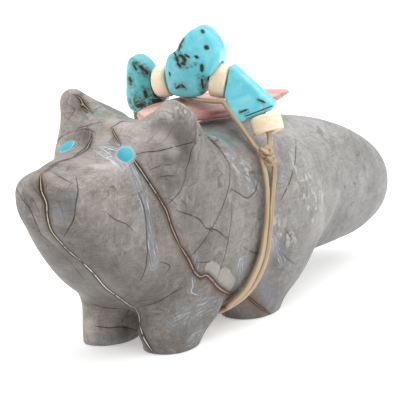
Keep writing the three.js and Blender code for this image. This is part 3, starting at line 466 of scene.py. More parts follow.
def set_line(made, name, points, normals, marks, cell, taper=True):
    """Stores a kind of sharp line: its signed side, and how far its end lies behind."""
    _, side, plain, _ = line_distances(points, normals, marks, taper)
    set_values(made, name + "_side", side)
    set_values(made, name + "_end", np.clip((plain - 1.2 * cell) / 0.15, 0, 50))


def set_area(made, name, points, marks):
    """Stores a kind of tinted area: the distance from its middle as a multiple of its width."""
    set_values(made, name + "_area", np.minimum(line_distances(points, points, marks)[0], 6))


def set_band_frame(made, name, points, normals, marks):
    """Stores places in the frame of bands of strokes: across and along them in millimetres."""
    near, side, plain, run = line_distances(points, normals, marks)
    set_values(made, name + "_near", np.minimum(near, 6))
    set_values(made, name + "_across", np.sign(side) * plain)
    set_values(made, name + "_along", run)


def set_light_shade_and_tone_gain(made, points, normals, field):
    """Stores how much lighter or darker broad parts of the stone are, partly painted light and shade and
    partly its own tone; the underside is darkest with painted shade, and the top is lighter with painted
    light.
    """
    # Painted light on the top and painted shade on the underside, by the way the normals face
    gain = (TOP_PAINTED_LIGHT * smoothstep(normals[:, 2], 0.4, 0.9)
            - UNDER_PAINTED_SHADE * smoothstep(normals[:, 2], 0.3, -0.7))
    for share, width, pixels in LIGHT_SHADE_AND_TONE_GAINS:
        line = seen_at(field, pixel_line(pixels, 3.0))
        gap = np.full(len(points), 50.0)
        for place in line:
            gap = np.minimum(gap, np.linalg.norm(points - place, axis=1))
        gain += math.log(share) * np.exp(-(gap / width) ** 2)
    set_values(made, "gain", np.exp(gain))


# The strands: girth, bead string and knot

def spline(points, closed=True, spans=24):
    """Dense points of a centripetal spline through points."""
    points = np.asarray(points, float)
    count = len(points)
    made = []
    for i in range(count if closed else count - 1):
        near = [(i + k) % count if closed else min(max(i + k, 0), count - 1) for k in (-1, 0, 1, 2)]
        a, b, c, d = points[near]
        ab, bc, cd = (max(float(np.sum((q - p) ** 2)) ** 0.25, 1e-4) for p, q in ((a, b), (b, c), (c, d)))
        start = ((b - a) / ab - (c - a) / (ab + bc) + (c - b) / bc) * bc
        end = ((c - b) / bc - (d - b) / (bc + cd) + (d - c) / cd) * bc
        t = (np.arange(spans) / spans)[:, None]
        made.append((1 + 2 * t) * (1 - t) ** 2 * b + t * (1 - t) ** 2 * start
                    + t * t * (3 - 2 * t) * c + t * t * (t - 1) * end)
    if not closed:
        made.append(points[-1:])
    return np.concatenate(made)


def evenly(points, step, closed=True):
    """Points at even steps along a line of points."""
    points = np.concatenate([points, points[:1]]) if closed else points
    lengths = np.concatenate([[0], np.cumsum(np.linalg.norm(np.diff(points, axis=0), axis=1))])
    count = max(int(lengths[-1] / step), 4)
    at = np.linspace(0, lengths[-1], count + 1)
    at = at[:-1] if closed else at
    return np.stack([np.interp(at, lengths, points[:, k]) for k in range(3)], 1)


def blade_half_sizes(along):
    return (BLADE_WIDTH / 2 * curve_at(along, BLADE_WIDTH_SHARE),
            BLADE_THICKNESS / 2 * curve_at(along, BLADE_THICKNESS_SHARE))


def blade_field(x, y, z):
    across, along, up = turned(BLADE_MATRIX.T, x - BLADE_PLACE[0], y - BLADE_PLACE[1], z - BLADE_HEIGHT)
    wide, thick = blade_half_sizes(np.clip(2 * along / BLADE_LENGTH, -1, 1))
    lens = np.abs(across / wide) ** BLADE_SQUARENESS + np.abs(up / thick) ** BLADE_SQUARENESS
    return np.maximum((lens ** (1 / BLADE_SQUARENESS) - 1) * thick, np.abs(along) - BLADE_LENGTH / 2)


def girth_y(x, z):
    """How far from the nose the girth strand runs: bent forward below, drifting back on the far side."""
    sheet, drift = GIRTH_SHEET, GIRTH_DRIFT
    share = smoothstep(-x, drift["from"], drift["to"]) * smoothstep(z, drift["low"], drift["high"])
    forward = sheet["bend"] * (np.maximum(z, sheet["low"]) - sheet["height"]) ** 2
    return sheet["start"] - forward + drift["far"] * share


def half_hull(points):
    """One side of the tight loop round points that are sorted across."""
    kept = []
    for p in points:
        while len(kept) > 1:
            a, b = kept[-2], kept[-1]
            if (b[0] - a[0]) * (p[1] - a[1]) - (b[1] - a[1]) * (p[0] - a[0]) > 0:
                break
            kept.pop()
        kept.append(p)
    return kept[:-1]


def girth_points():
    """The girth strand: its section round stone and blade, pulled tight."""
    offset = SINEW_DIAMETER / 2 + REST_GAP
    angle = 2 * np.pi * np.arange(GIRTH_RAYS) / GIRTH_RAYS
    reach = np.full(GIRTH_RAYS, float(GIRTH_REACH))

    def away():
        x = reach * np.cos(angle)
        z = GIRTH_MIDDLE + reach * np.sin(angle)
        y = girth_y(x, z)
        return np.minimum(carving(x, y, z), blade_field(x, y, z)) - offset, x, z

    for _ in range(500):
        left, x, z = away()
        reach = np.where(left > 0.01, reach - np.maximum(left * 0.5, 0.005), reach)
    section = sorted([(a, b) for a, b in zip(x, z)] + [GIRTH_CREST])
    hull = np.array(half_hull(section) + half_hull(section[::-1]))
    loop = evenly(np.stack([hull[:, 0], girth_y(hull[:, 0], hull[:, 1]), hull[:, 1]], 1), 0.75)
    loop[:, 1] = girth_y(loop[:, 0], loop[:, 2])
    return loop


def bead_string(girth, knot):
    """The string: over the back through the row, then round the body beside the girth."""
    over = []
    for x, y, z, share, clear in BEAD_ROUTE:
        p = np.array([[x, y, z + STRING_LIFT * share]])
        if carving(*p.T)[0] < clear + REST_GAP:
            p = stand_off(carving, p, clear + REST_GAP)
        over.append(p[0])
    under = girth[girth[:, 2] < STRING_JOINS_GIRTH]
    around = np.mod(np.arctan2(under[:, 2] - GIRTH_MIDDLE, under[:, 0]) - math.pi / 2, 2 * math.pi)
    under = under[np.argsort(around)] + np.array([0, SINEW_DIAMETER + STRAND_SPACE, 0])
    return evenly(spline(np.array([knot] + over + list(under))), 0.1)


def pixels_of(points):
    """Where points show in the photograph, and how many millimetres a pixel spans there."""
    right, up, back = camera_axes()
    rest = points - (CAMERA_TARGET + back * CAMERA_DISTANCE)
    span = -(rest @ back) / FOCAL_PIXELS
    return FRAME_PIXELS / 2 + rest @ right / span, FRAME_PIXELS / 2 - rest @ up / span, span


def draw_over(line, drawn_pixels):
    """Moves the visible run of a strand to where the photograph shows it."""
    right, _, back = camera_axes()
    down, across = np.array(drawn_pixels).T
    share = smoothstep(slope(carving, line) @ back, 0.0, 0.2)
    height = carving(*line.T)
    for _ in range(8):
        x, y, span = pixels_of(line)
        here = share * smoothstep(y, down[0], down[0] + 10) * smoothstep(y, down[-1], down[-1] - 6)
        shift = here * (np.interp(y, down, across) - x) * span
        line = stand_off(carving, line + shift[:, None] * right, height)
    return line


def grid_quads(rows, columns, rows_closed, columns_closed):
    """Quads between the points of a grid that are listed row after row."""
    i = np.arange(rows if rows_closed else rows - 1)[:, None]
    j = np.arange(columns if columns_closed else columns - 1)[None]
    ahead = (i + 1) % rows
    beside = (j + 1) % columns
    corners = [i * columns + j, ahead * columns + j, ahead * columns + beside, i * columns + beside]
    return np.stack(corners, -1).reshape(-1, 4)


def tube(points, radii, sides, closed, flat):
    """Rings of points along a line, and the quads between them; flat squeezes them off the stone."""
    tangent = np.gradient(points, axis=0)
    if closed:
        tangent = np.roll(points, -1, 0) - np.roll(points, 1, 0)
    tangent /= np.linalg.norm(tangent, axis=1, keepdims=True)
    outward = slope(carving, points)
    outward -= np.sum(outward * tangent, 1)[:, None] * tangent
    outward /= np.maximum(np.linalg.norm(outward, axis=1, keepdims=True), 1e-9)
    sideways = np.cross(outward, tangent)
    angle = 2 * np.pi * np.arange(sides) / sides
    ring = (flat * np.cos(angle)[None, :, None] * outward[:, None]
            + np.sin(angle)[None, :, None] * sideways[:, None])
    rings = points[:, None] + radii[:, None, None] * ring
    return rings.reshape(-1, 3), grid_quads(len(points), sides, closed, True)[:, ::-1]


def lathe(profile, sides, place, direction, wobble=0.0):
    """Points and quads of a round piece: pairs of radius and height about an axis."""
    profile = np.array(profile, float)
    direction = direction / np.linalg.norm(direction)
    first = np.cross(direction, [0.3, 0.2, 1.0])
    first /= np.linalg.norm(first)
    second = np.cross(direction, first)
    angle = 2 * np.pi * np.arange(sides) / sides
    uneven = 1 + wobble * (np.sin(2 * angle + 0.7) + 0.6 * np.sin(3 * angle + 2.1))
    round_part = np.cos(angle)[:, None] * first + np.sin(angle)[:, None] * second
    points = (place + profile[:, 0][None, :, None] * (uneven[:, None] * round_part)[:, None]
              + profile[:, 1][None, :, None] * direction)
    return points.reshape(-1, 3), grid_quads(sides, len(profile), True, False)


def node_points(name):
    """Vertices of a CAD node in the drawing's millimetres."""
    return np.array([v.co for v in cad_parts[name].data.vertices]) / MM - ORIGIN


def box_middle(name):
    low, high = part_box(name)
    return (np.array(low) + np.array(high)) / 2 / MM - ORIGIN


def disc_axis(name, toward):
    """Middle and axis of a round CAD node: the direction in which its reach is the odd one."""
    points = node_points(name)
    middle = points.mean(0)
    spread, axes = np.linalg.eigh(np.cov((points - middle).T))
    odd = 0 if spread[1] - spread[0] > spread[2] - spread[1] else 2
    axis = axes[:, odd]
    return middle, axis * np.sign(axis @ np.array(toward))


def add_piece(name, points, faces, material, cad_node):
    """A visible piece that stands for a CAD node."""
    made = mesh_object(name, points, faces)
    made.data.materials.append(material)
    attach(made, "root")
    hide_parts(cad_node)
    return made


# Nuggets: convex parts outlined clockwise by pixels of the photograph, faces as a direction and a
# share of half the depth, room round the beads, light and deep tone and share of matrix
NUGGETS = {
    "right": {
        "depth": 5.2, "yaw": 14, "round": 1.0, "joint": 0.6, "room": 0.0,
        "tones": ("6fcbd0", "50b0b8", 0.6),
        "parts": [[(127, 62), (131, 55), (141, 53.5), (150, 60), (157, 72), (159, 90), (150, 108),
                   (135, 109.5), (128, 101), (126.5, 80)],
                  [(130, 85), (150, 80), (160, 84), (168, 97), (165, 105), (152, 110), (136, 110),
                   (129, 100)]],
        "faces": [(0.25, -1, 0.15, 1), (-0.5, -1, 0, 1), (0, 1, 0.1, 1)],
    },
    "middle": {
        "depth": 6.2, "yaw": 14, "round": 1.0, "joint": 1.0, "room": 0.0,
        "tones": ("7fd8e3", "60c6d6", 0.35),
        "parts": [[(180, 43), (187, 32), (196, 25), (207, 25.5), (217, 35), (224, 48), (225.5, 56),
                   (222, 68), (207, 80), (186, 72)],
                  [(168, 56), (178, 48), (200, 58), (210, 74), (210.5, 87), (207, 95), (190, 98), (177, 98),
                   (168, 93), (165.5, 84), (165.5, 68)]],
        "faces": [(0.1, -1, 0.25, 1), (-0.25, -1, -0.3, 1), (0.1, 1, 0.1, 1), (1, -0.3, -0.48, 1.7)],
    },
    "left": {
        "depth": 3.4, "yaw": 18, "round": 0.6, "joint": 0.6, "room": 0.3,
        "tones": ("84d9e5", "64c9da", 0.1),
        "parts": [[(224, 72), (225.5, 63.5), (231, 62), (277, 104), (276, 107.5), (242, 121), (236, 119),
                   (223, 84)]],
        "faces": [(0.15, -1, 0.2, 1), (0, 1, 0, 1)],
    },
}


def seen_on_plane(pixels, place, normal):
    """Where the rays through pixels meet a plane."""
    eye, rays = rays_through(pixels)
    return eye + rays * (((place - eye) @ normal) / (rays @ normal))[:, None]


def nugget_outlines(nugget, place, matrix):
    """The parts' outlines in the nugget's own frame."""
    outlines = [(seen_on_plane(part, place, matrix[:, 1]) - place) @ matrix for part in nugget["parts"]]
    return [outline[:, [0, 2]] for outline in outlines]


def nugget_field(x, y, z, nugget, outlines):
    """Signed distance to a nugget in its own frame: flat faces rounded into each other."""
    form = None
    for outline in outlines:
        part = None
        for start, end in zip(outline, np.roll(outline, -1, 0)):
            edge = end - start
            flat = (-edge[1] * (x - start[0]) + edge[0] * (z - start[1])) / math.hypot(*edge)
            part = flat if part is None else trim(part, flat, nugget["round"])
        form = part if form is None else blend(form, part, nugget["joint"])
    for nx, ny, nz, share in nugget["faces"]:
        flat = (x * nx + y * ny + z * nz) / math.hypot(nx, ny, nz) - share * nugget["depth"] / 2
        form = trim(form, flat, nugget["round"])
    return form


def line_gap(x, y, z, line):
    """Distance from points to a finely divided line."""
    near = np.full(np.broadcast(x, y, z).shape, 1e3)
    for p in line:
        near = np.minimum(near, (x - p[0]) ** 2 + (y - p[1]) ** 2 + (z - p[2]) ** 2)
    return np.sqrt(near)


# Marks in the stone: a half width in millimetres and pixels of the photograph along the middle
CREAM_VEINS = [
    (0.26, [(91, 136), (87, 148), (80, 153), (74, 158)]),
    (0.34, [(42, 180), (43, 190), (47, 202), (47.5, 216), (51, 230), (62, 244), (72, 254), (82, 262)]),
    (0.34, [(133, 159), (138, 166), (146, 178), (158, 196), (163, 204)]),
    (0.26, [(75, 95), (80, 98), (84, 105), (92, 112)]),
    (0.16, [(80, 99), (82, 106), (86, 112)]),
    (0.22, [(113, 131), (116, 137), (120, 143)]),
]
WHITE_VEINS = [
    (0.32, [(80, 260), (94, 274), (106, 288), (118, 297), (130, 306), (140, 314), (145, 326),
            (149, 342), (152, 350), (158, 356)]),
]
RUST_VEINS = [
    (0.34, [(158, 196), (162, 203), (166, 210), (172, 228), (180, 246)]),
    (0.38, [(180, 246), (189, 260), (195, 272), (201, 277), (206, 275), (212, 280), (218, 287),
            (224, 291), (232, 294)]),
    (0.20, [(74, 158), (66, 163), (55, 170), (45, 177)]),
]
TAN_VEINS = [(0.24, [(246, 295), (256, 304), (263, 309), (273, 316)])]
CRACKS = [
    (0.10, [(17, 188), (23, 199), (30, 210), (40, 234), (51, 244)]),
    (0.08, [(22, 192), (28, 200), (34, 220), (40, 232)]),
    (0.09, [(36, 188), (44, 199), (45, 212)]),
    (0.11, [(76, 178), (78, 192), (76, 206), (73, 221), (64, 236)]),
    (0.09, [(134, 155), (146, 152), (158, 151), (174, 147), (188, 144), (203, 139)]),
    (0.08, [(157, 178), (166, 176), (176, 176)]),
    (0.08, [(187, 168), (184, 182), (178, 194), (166, 205)]),
    (0.12, [(206, 136), (220, 150), (229, 164), (230, 176), (228, 190), (222, 208), (212, 228),
            (200, 246), (190, 257)]),
    (0.11, [(230, 188), (240, 194), (247, 198), (256, 190), (257, 182)]),
    (0.09, [(232, 198), (231, 222), (227, 246), (223, 262), (217, 279)]),
    (0.11, [(178, 211), (190, 215), (200, 220), (206, 228), (216, 230), (228, 240)]),
    (0.08, [(242, 246), (255, 253), (268, 250)]),
    (0.12, [(296, 140), (295, 162), (291, 178), (286, 190), (280, 201)]),
    (0.10, [(274, 230), (277, 236), (281, 241)]),
    (0.10, [(286, 227), (290, 234), (294, 240)]),
    (0.10, [(284, 254), (289, 260), (295, 264)]),
    (0.12, [(138, 192), (144, 208), (146, 222), (147, 240), (147, 256), (145, 270), (140, 281)]),
    (0.08, [(106, 212), (116, 220), (126, 224), (134, 232)]),
    (0.09, [(160, 262), (170, 266), (163, 276)]),
    (0.10, [(82, 298), (90, 304), (106, 309), (128, 310)]),
    (0.12, [(140, 308), (156, 304), (170, 296), (182, 288)]),
    (0.11, [(96, 326), (110, 328), (122, 327), (136, 330)]),
    (0.08, [(118, 300), (132, 302), (150, 299)]),
    (0.09, [(137, 302), (128, 312), (122, 322)]),
    (0.08, [(94, 132), (86, 130), (76, 134)]),
    (0.09, [(196, 262), (208, 262), (216, 258)]),
    (0.08, [(60, 252), (70, 262), (86, 282)]),
    (0.12, [(48, 160), (57, 144), (66, 136), (78, 130), (90, 126), (104, 124)]),
    (0.10, [(52, 176), (64, 180), (72, 184)]),
    (0.10, [(195, 127), (202, 132), (217, 145), (227, 162)]),
    (0.10, [(193, 128), (196, 142), (193, 156), (185, 170)]),
    (0.09, [(112, 128), (124, 122), (140, 121)]),
    (0.09, [(150, 170), (160, 166), (172, 164)]),
    (0.09, [(60, 108), (62, 124), (60, 138)]),
]
SCRATCHES = [
    (0.16, [(192, 279), (193, 286), (191, 292), (198, 295)]),
    (0.07, [(96, 147), (104, 150), (112, 156)]),
    (0.07, [(94, 150), (102, 155), (110, 158)]),
    (0.07, [(102, 146), (112, 149), (121, 152)]),
    (0.07, [(108, 156), (114, 162), (120, 168)]),
]
# Areas of a tint; among them painted shade, painted highlight and painted reflection
PATCH_AREAS = [
    (1.0, [(210, 267), (216, 272)]), (1.3, [(222, 276), (229, 285)]), (0.8, [(214, 274), (220, 279)]),
]
# Mostly painted highlight on lit faces of the head, the far leg and the haunch's rim, with some pale stone
HIGHLIGHT_AND_PALE_AREAS = [
    (0.9, [(161, 134), (168, 140), (172, 150)]), (0.9, [(96, 134), (106, 140)]),
    (0.8, [(110, 164), (96, 167)]), (0.9, [(128, 126), (112, 124)]), (1.3, [(96, 276), (112, 292)]),
    (0.8, [(90, 322), (92, 340)]),
    (1.6, [(332, 196), (326, 214), (312, 236)]), (1.1, [(158, 112), (168, 110)]),
]
# Painted shade in hollows and on faces turned from the light: the ear's hollow, the recess under the brow,
# the dent beside the nose and the lower faces of the legs
PAINTED_SHADE_AREAS = [
    (0.9, [(158, 128), (168, 131)]), (1.2, [(182, 136), (187, 144), (190, 154)]),
    (0.7, [(86, 134), (87, 147)]), (0.8, [(66, 204), (72, 212)]), (0.7, [(36, 186), (44, 196)]),
    (0.9, [(116, 338), (126, 332)]), (0.8, [(28, 196), (32, 208)]),
    (0.5, [(114, 140), (113, 150)]), (0.8, [(168, 158), (188, 160)]),
    (1.2, [(220, 318), (240, 316), (262, 312)]), (0.7, [(138, 314), (146, 322)]),
    (1.4, [(255, 180), (250, 176)]), (1.3, [(286, 238), (276, 262)]),
]
# Painted shade tinted by a painted reflection of the turquoise, under the nuggets and the blade and behind
# the head
TEAL_REFLECTED_SHADE_AREAS = [
    (0.5, [(120, 119), (130, 117), (140, 117)]), (0.9, [(216, 132), (222, 136), (230, 144)]),
    (0.5, [(207, 124), (212, 134)]), (0.5, [(94, 113), (104, 117)]),
]
BLUE_AREAS = [
    (1.2, [(238, 162), (248, 176), (250, 186)]), (1.2, [(264, 282), (270, 300)]),
    (1.0, [(238, 268), (246, 262)]), (1.0, [(66, 212), (60, 214)]),
]
# Bands of fine pale strokes that run along their middle; the two on the near front leg are painted highlight
# streaks
STROKES_AND_GLINTS = [
    (1.05, [(130, 166), (137, 180), (142, 194), (146, 212), (149, 230), (151, 248), (155, 264)]),
    (0.8, [(120, 148), (108, 145), (96, 146)]), (1.4, [(174, 323), (216, 300)]),
    (0.9, [(190, 343), (196, 335), (202, 332)]), (0.9, [(243, 288), (240, 272), (241, 262)]),
    (1.0, [(196, 262), (194, 276), (192, 288)]), (1.0, [(284, 262), (276, 240), (268, 224)]),
    (0.9, [(208, 136), (222, 142), (232, 152)]), (0.8, [(122, 168), (112, 158), (100, 154)]),
]
# Painted light and shade by facing: logarithms of how much lighter the top and darker the underside is than
# the sides
TOP_PAINTED_LIGHT = 0.12
UNDER_PAINTED_SHADE = 0.32
# Broad parts that are lighter or darker, partly painted light and shade and partly the stone's own tone:
# factor, half width and pixels
LIGHT_SHADE_AND_TONE_GAINS = [
    (1.50, 4.0, [(64, 104), (68, 124)]), (1.22, 3.2, [(168, 112), (180, 118)]),
    (1.18, 4.0, [(104, 130), (140, 130)]), (1.22, 5.0, [(112, 186), (118, 206)]),
    (0.72, 6.0, [(76, 262), (110, 296)]), (0.88, 5.0, [(205, 190), (210, 235)]),
    (1.55, 4.0, [(100, 322), (110, 342)]), (0.88, 4.0, [(165, 322), (190, 334)]),
    (1.30, 3.0, [(212, 312), (230, 314)]), (0.80, 6.0, [(340, 222), (318, 236)]),
    (1.25, 6.0, [(296, 130), (320, 134)]), (1.25, 3.0, [(30, 196), (34, 212)]),
    (0.66, 1.9, [(180, 134), (188, 146)]), (1.10, 3.0, [(80, 166), (100, 168)]),
    (1.12, 3.2, [(92, 192), (112, 200)]), (0.86, 3.5, [(66, 226), (86, 240)]),
    (0.88, 3.0, [(152, 186), (162, 176)]), (1.10, 4.0, [(300, 170), (320, 205)]),
    (1.06, 5.0, [(255, 200), (250, 250)]), (0.90, 4.0, [(150, 290), (180, 270)]),
]
WARM_AREAS = [
    (0.8, [(42, 176), (44, 184)]), (0.8, [(206, 136), (218, 148), (228, 160)]),
    (0.9, [(180, 244), (190, 262)]), (0.8, [(226, 300), (236, 300)]), (0.9, [(247, 296), (262, 308)]),
    (0.5, [(112, 130), (118, 142)]),
    (0.6, [(82, 96), (86, 108)]), (1.0, [(205, 272), (222, 294)]),
]
SPECKLED_AREAS = [
    (2.6, [(300, 168), (308, 190), (314, 212)]), (2.0, [(320, 196), (322, 206)]),
    (1.3, [(172, 110), (184, 108)]), (1.6, [(270, 226), (292, 238)]), (2.0, [(232, 160), (250, 178)]),
]
# Lines led to the far side: kind, half width, pixels and how far they are moved, in millimetres
FAR_LINES = [
    ("rust", 0.26, [(133, 159), (146, 178), (158, 196), (166, 210), (172, 228), (180, 246), (189, 260)],
     (0, 7, 0.5)),
    ("crack", 0.12, [(206, 136), (229, 164), (230, 176), (222, 208), (212, 228), (200, 246)], (0, 5, 0)),
    ("crack", 0.12, [(296, 140), (295, 162), (291, 178), (286, 190), (280, 201)], (0, -4, 0)),
    ("cream", 0.22, [(296, 128), (318, 150), (330, 170), (352, 196)], (0, 6, 1)),
]
MATRIX_AREAS = {
    "left": [(0.30, [(258, 100), (263, 103)]), (0.32, [(241, 112), (247, 111)])],
    "middle": [(0.9, [(178, 57), (183, 62)]), (0.4, [(183, 39), (180, 46), (177, 53)]),
               (0.7, [(178, 86), (183, 87)]), (0.7, [(201, 78), (204, 92)]), (0.3, [(187, 67), (196, 64)])],
    "right": [(1.0, [(141, 67), (146, 72)]), (0.6, [(130, 77), (131, 84)]), (0.7, [(145, 90), (147, 97)]),
              (1.5, [(136, 104), (146, 104)]), (1.2, [(154, 98), (162, 102)]), (0.5, [(133, 62), (138, 66)]),
              (0.5, [(151, 74), (154, 90)])],
}
MATRIX_SEAMS = {
    "left": [
        (0.07, [(246, 116), (254, 113), (262, 110), (272, 106)]), (0.12, [(259, 100), (264, 102)]),
        (0.11, [(241, 112), (246, 110)]),
    ],
    "middle": [
        (0.25, [(202.6, 30.5), (202.9, 31.5)]), (0.30, [(206.2, 47.4), (206.8, 47.8)]),
        (0.18, [(196, 56.8), (197, 57.2)]), (0.26, [(201.8, 66), (202, 70)]), (0.16, [(202, 80), (203, 88)]),
        (0.22, [(176.5, 58), (177.5, 60.5)]), (0.18, [(180, 55.5), (182, 56)]),
        (0.24, [(184, 58), (185, 60)]), (0.20, [(182.5, 63.5), (184, 64)]), (0.20, [(178, 64), (180, 66)]),
        (0.12, [(186, 55), (189, 57)]), (0.13, [(174.5, 53), (175.5, 55)]), (0.14, [(177, 88), (179, 86.5)]),
        (0.16, [(182, 85.5), (184, 87)]), (0.10, [(183, 40), (181, 44), (179, 50)]),
        (0.13, [(169.5, 73), (170, 75)]),
    ],
    "right": [
        (0.22, [(141, 67), (143, 69)]), (0.22, [(146, 71), (147, 73)]), (0.28, [(138, 106), (142, 105)]),
        (0.24, [(130, 79), (131, 81)]), (0.14, [(134, 66), (136, 69)]), (0.26, [(145, 92), (146, 96)]),
        (0.16, [(151, 76), (152, 80)]), (0.30, [(154, 101), (160, 101)]),
    ],
}
# Strokes of the finer relief: height and half width in millimetres, and pixels along the middle
RELIEF = [
    (0.35, 0.7, [(60, 141), (73, 135), (89, 129), (105, 124), (118, 122)]),
    (-0.40, 0.9, [(78, 140), (88, 138), (98, 136)]),
    (0.25, 0.8, [(98, 131), (108, 134), (114, 138)]),
    (-0.60, 1.5, [(176, 134), (184, 140), (190, 150)]),
    (0.25, 1.2, [(150, 128), (160, 140), (170, 150)]),
    (-0.80, 1.7, [(204, 130), (206, 142), (204, 158)]),
    (0.25, 0.7, [(186, 110), (193, 122), (196, 138)]),
    (-0.25, 1.2, [(72, 110), (80, 120)]),
    (0.30, 0.9, [(64, 170), (80, 169), (100, 169), (116, 171)]),
    (-0.25, 1.4, [(84, 160), (104, 160)]),
    (-0.20, 0.6, [(56, 180), (66, 188), (74, 200), (75, 216), (68, 232)]),
    (-0.30, 1.0, [(66, 205), (71, 210)]),
    (0.16, 0.7, [(54, 184), (60, 191)]),
    (-0.14, 0.5, [(18, 190), (30, 210), (40, 234), (51, 244)]),
    (-0.20, 0.5, [(87, 304), (106, 309), (128, 310), (140, 308), (156, 304), (170, 296), (187, 277)]),
    (0.32, 1.3, [(313, 244), (325, 222), (335, 196)]),
    (-0.30, 2.2, [(288, 236), (278, 258), (270, 280)]),
    (-0.12, 0.4, [(96, 326), (110, 328), (122, 327), (136, 330)]),
    (0.75, 1.6, [(147, 324), (145, 334)]),
    (-1.00, 1.7, [(143, 350), (146, 354)]),
    (0.90, 2.4, [(211, 312), (206, 324)]),
    (0.40, 1.6, [(90, 330), (90, 342)]),
    (-0.50, 1.8, [(168, 106), (174, 105)]),
    (0.55, 1.8, [(184, 113), (190, 119)]),
    (0.65, 2.8, [(56, 168), (46, 174), (36, 180)]),
]
FAR_EAR_BACK = ((-7.0, 21.5, 31.7), (-5.6, 28.0, 28.2), 1.1, 1.7)
STONE_LINES = {"cream": CREAM_VEINS, "white": WHITE_VEINS, "rust": RUST_VEINS, "tan": TAN_VEINS,
               "crack": CRACKS, "scratch": SCRATCHES}
STONE_TINTS = {"pale": HIGHLIGHT_AND_PALE_AREAS, "dark": PAINTED_SHADE_AREAS, "teal": TEAL_REFLECTED_SHADE_AREAS, "blue": BLUE_AREAS,
               "warm": WARM_AREAS, "speckled": SPECKLED_AREAS, "patch": PATCH_AREAS}


def fox(x, y, z):
    """The carving as it shows: cut off at its soles, with the far ear's sharper back."""
    form = blend(carving(x, y, z), round_bar(x, y, z, *FAR_EAR_BACK), 1.2)
    return trim(form, -z, 0.35)


class Shade:
    """A material's node tree, built from short calls; values may be sockets or numbers."""

    def __init__(self, name):
        self.material = bpy.data.materials.new(name)
        self.material.use_nodes = True
        self.tree = self.material.node_tree
        self.shader = self.tree.nodes["Principled BSDF"]
        self.mm = self.vector("SCALE", self.node("TexCoord", {})["Object"], 1 / MM)
        self.colour = None

    def feed(self, socket, value):
        if isinstance(value, bpy.types.NodeSocket):
            self.tree.links.new(value, socket)
        else:
            socket.default_value = value

    def node(self, kind, inputs, **settings):
        """Outputs of a new node with its properties set and its inputs fed."""
        made = self.tree.nodes.new("ShaderNode" + kind)
        for name, value in settings.items():
            setattr(made, name, value)
        for key, value in inputs.items():
            self.feed(made.inputs[key], value)
        return made.outputs

    def vector(self, operation, a, b):
        second = "Scale" if operation == "SCALE" else 1
        return self.node("VectorMath", {0: a, second: b}, operation=operation)[0]

    def math(self, operation, a, b=0.0, c=0.0):
        return self.node("Math", {0: a, 1: b, 2: c}, operation=operation)[0]

    def times(self, a, b):
        return self.math("MULTIPLY", a, b)

    def scaled(self, value, factor, start):
        return self.math("MULTIPLY_ADD", value, factor, start)

    def noise(self, scale, detail=4.0, rough=0.55, warp=0.0, place=None, offset=0.0, stretch=(1, 1, 1)):
        moved = self.vector("MULTIPLY", place or self.mm, stretch)
        moved = self.vector("ADD", moved, (offset, offset * 1.7, offset * 0.6))
        inputs = {"Vector": moved, "Scale": scale, "Detail": detail, "Roughness": rough, "Distortion": warp}
        return self.node("TexNoise", inputs)[0]

    def attribute(self, name):
        return self.node("Attribute", {}, attribute_name=name)["Fac"]

    def strand_place(self, across="across", along="along"):
        """A place made of two stored distances: across and along a strand or band."""
        return self.node("CombineXYZ", {0: self.attribute(across), 1: self.attribute(along)})[0]

    def axis(self, index):
        return self.node("SeparateXYZ", {0: self.mm})[index]

    def rise(self, value, low, high):
        """0 below low, 1 above high and smooth between; the other way where low is above high."""
        inputs = {"Value": value, "From Min": min(low, high), "From Max": max(low, high),
                  "To Min": float(low > high), "To Max": float(low <= high)}
        return self.node("MapRange", inputs, interpolation_type="SMOOTHSTEP")["Result"]

    def line(self, name, warp=0.12):
        """Distance from the drawn lines of a kind, as a multiple of their half width."""
        side = self.math("ABSOLUTE", self.attribute(name + "_side"))
        uneven = self.scaled(self.noise(1.6, 2.0), 2 * warp, -warp)
        return self.math("ADD", self.math("MAXIMUM", side, self.attribute(name + "_end")), uneven)

    def area(self, name, ragged=0.35, scale=0.7, outer=1.7, inner=0.1):
        """Strength of the drawn areas of a kind, with uneven edges."""
        uneven = self.scaled(self.noise(scale, 4.0), 2 * ragged, -ragged)
        return self.rise(self.math("ADD", self.attribute(name + "_area"), uneven), outer, inner)

    def mix(self, share, a, b):
        """Colour a where share is 0 and b where it is 1."""
        a, b = (c if isinstance(c, bpy.types.NodeSocket) else (*c, 1.0) for c in (a, b))
        return self.node("Mix", {"Factor": share, "A": a, "B": b}, data_type="RGBA")["Result"]

    def cover(self, share, strength, code):
        """Takes the colour so far towards a screen colour."""
        self.colour = self.mix(self.times(share, strength), self.colour, tone(code))

    def tint(self, value, low, high, strength, code):
        """Takes the colour towards a screen colour as a value goes from low to high."""
        self.cover(self.rise(value, low, high), strength, code)

    def bump(self, height, strength, depth_mm):
        inputs = {"Height": height, "Strength": strength, "Distance": depth_mm * MM}
        self.feed(self.shader.inputs["Normal"], self.node("Bump", inputs)["Normal"])

    def finish(self, roughness):
        self.feed(self.shader.inputs["Base Color"], self.colour)
        self.feed(self.shader.inputs["Roughness"], roughness)
        return self.material


def tone(code):
    """Linear colour of a six-digit screen colour."""
    parts = [int(code[k:k + 2], 16) / 255 for k in (0, 2, 4)]
    return tuple(v / 12.92 if v < 0.04045 else ((v + 0.055) / 1.055) ** 2.4 for v in parts)


# Tinted areas of the stone: tone and strength. The dark tint is painted shade, the teal tint is painted
# shade with a painted reflection of the turquoise, and the pale tint is mostly painted highlight.
STONE_AREAS = {"dark": ("554f4a", 0.55), "blue": ("87909c", 0.3), "teal": ("3d7f7f", 0.5),
               "pale": ("b0aaa4", 0.45), "warm": ("6f5442", 0.5)}
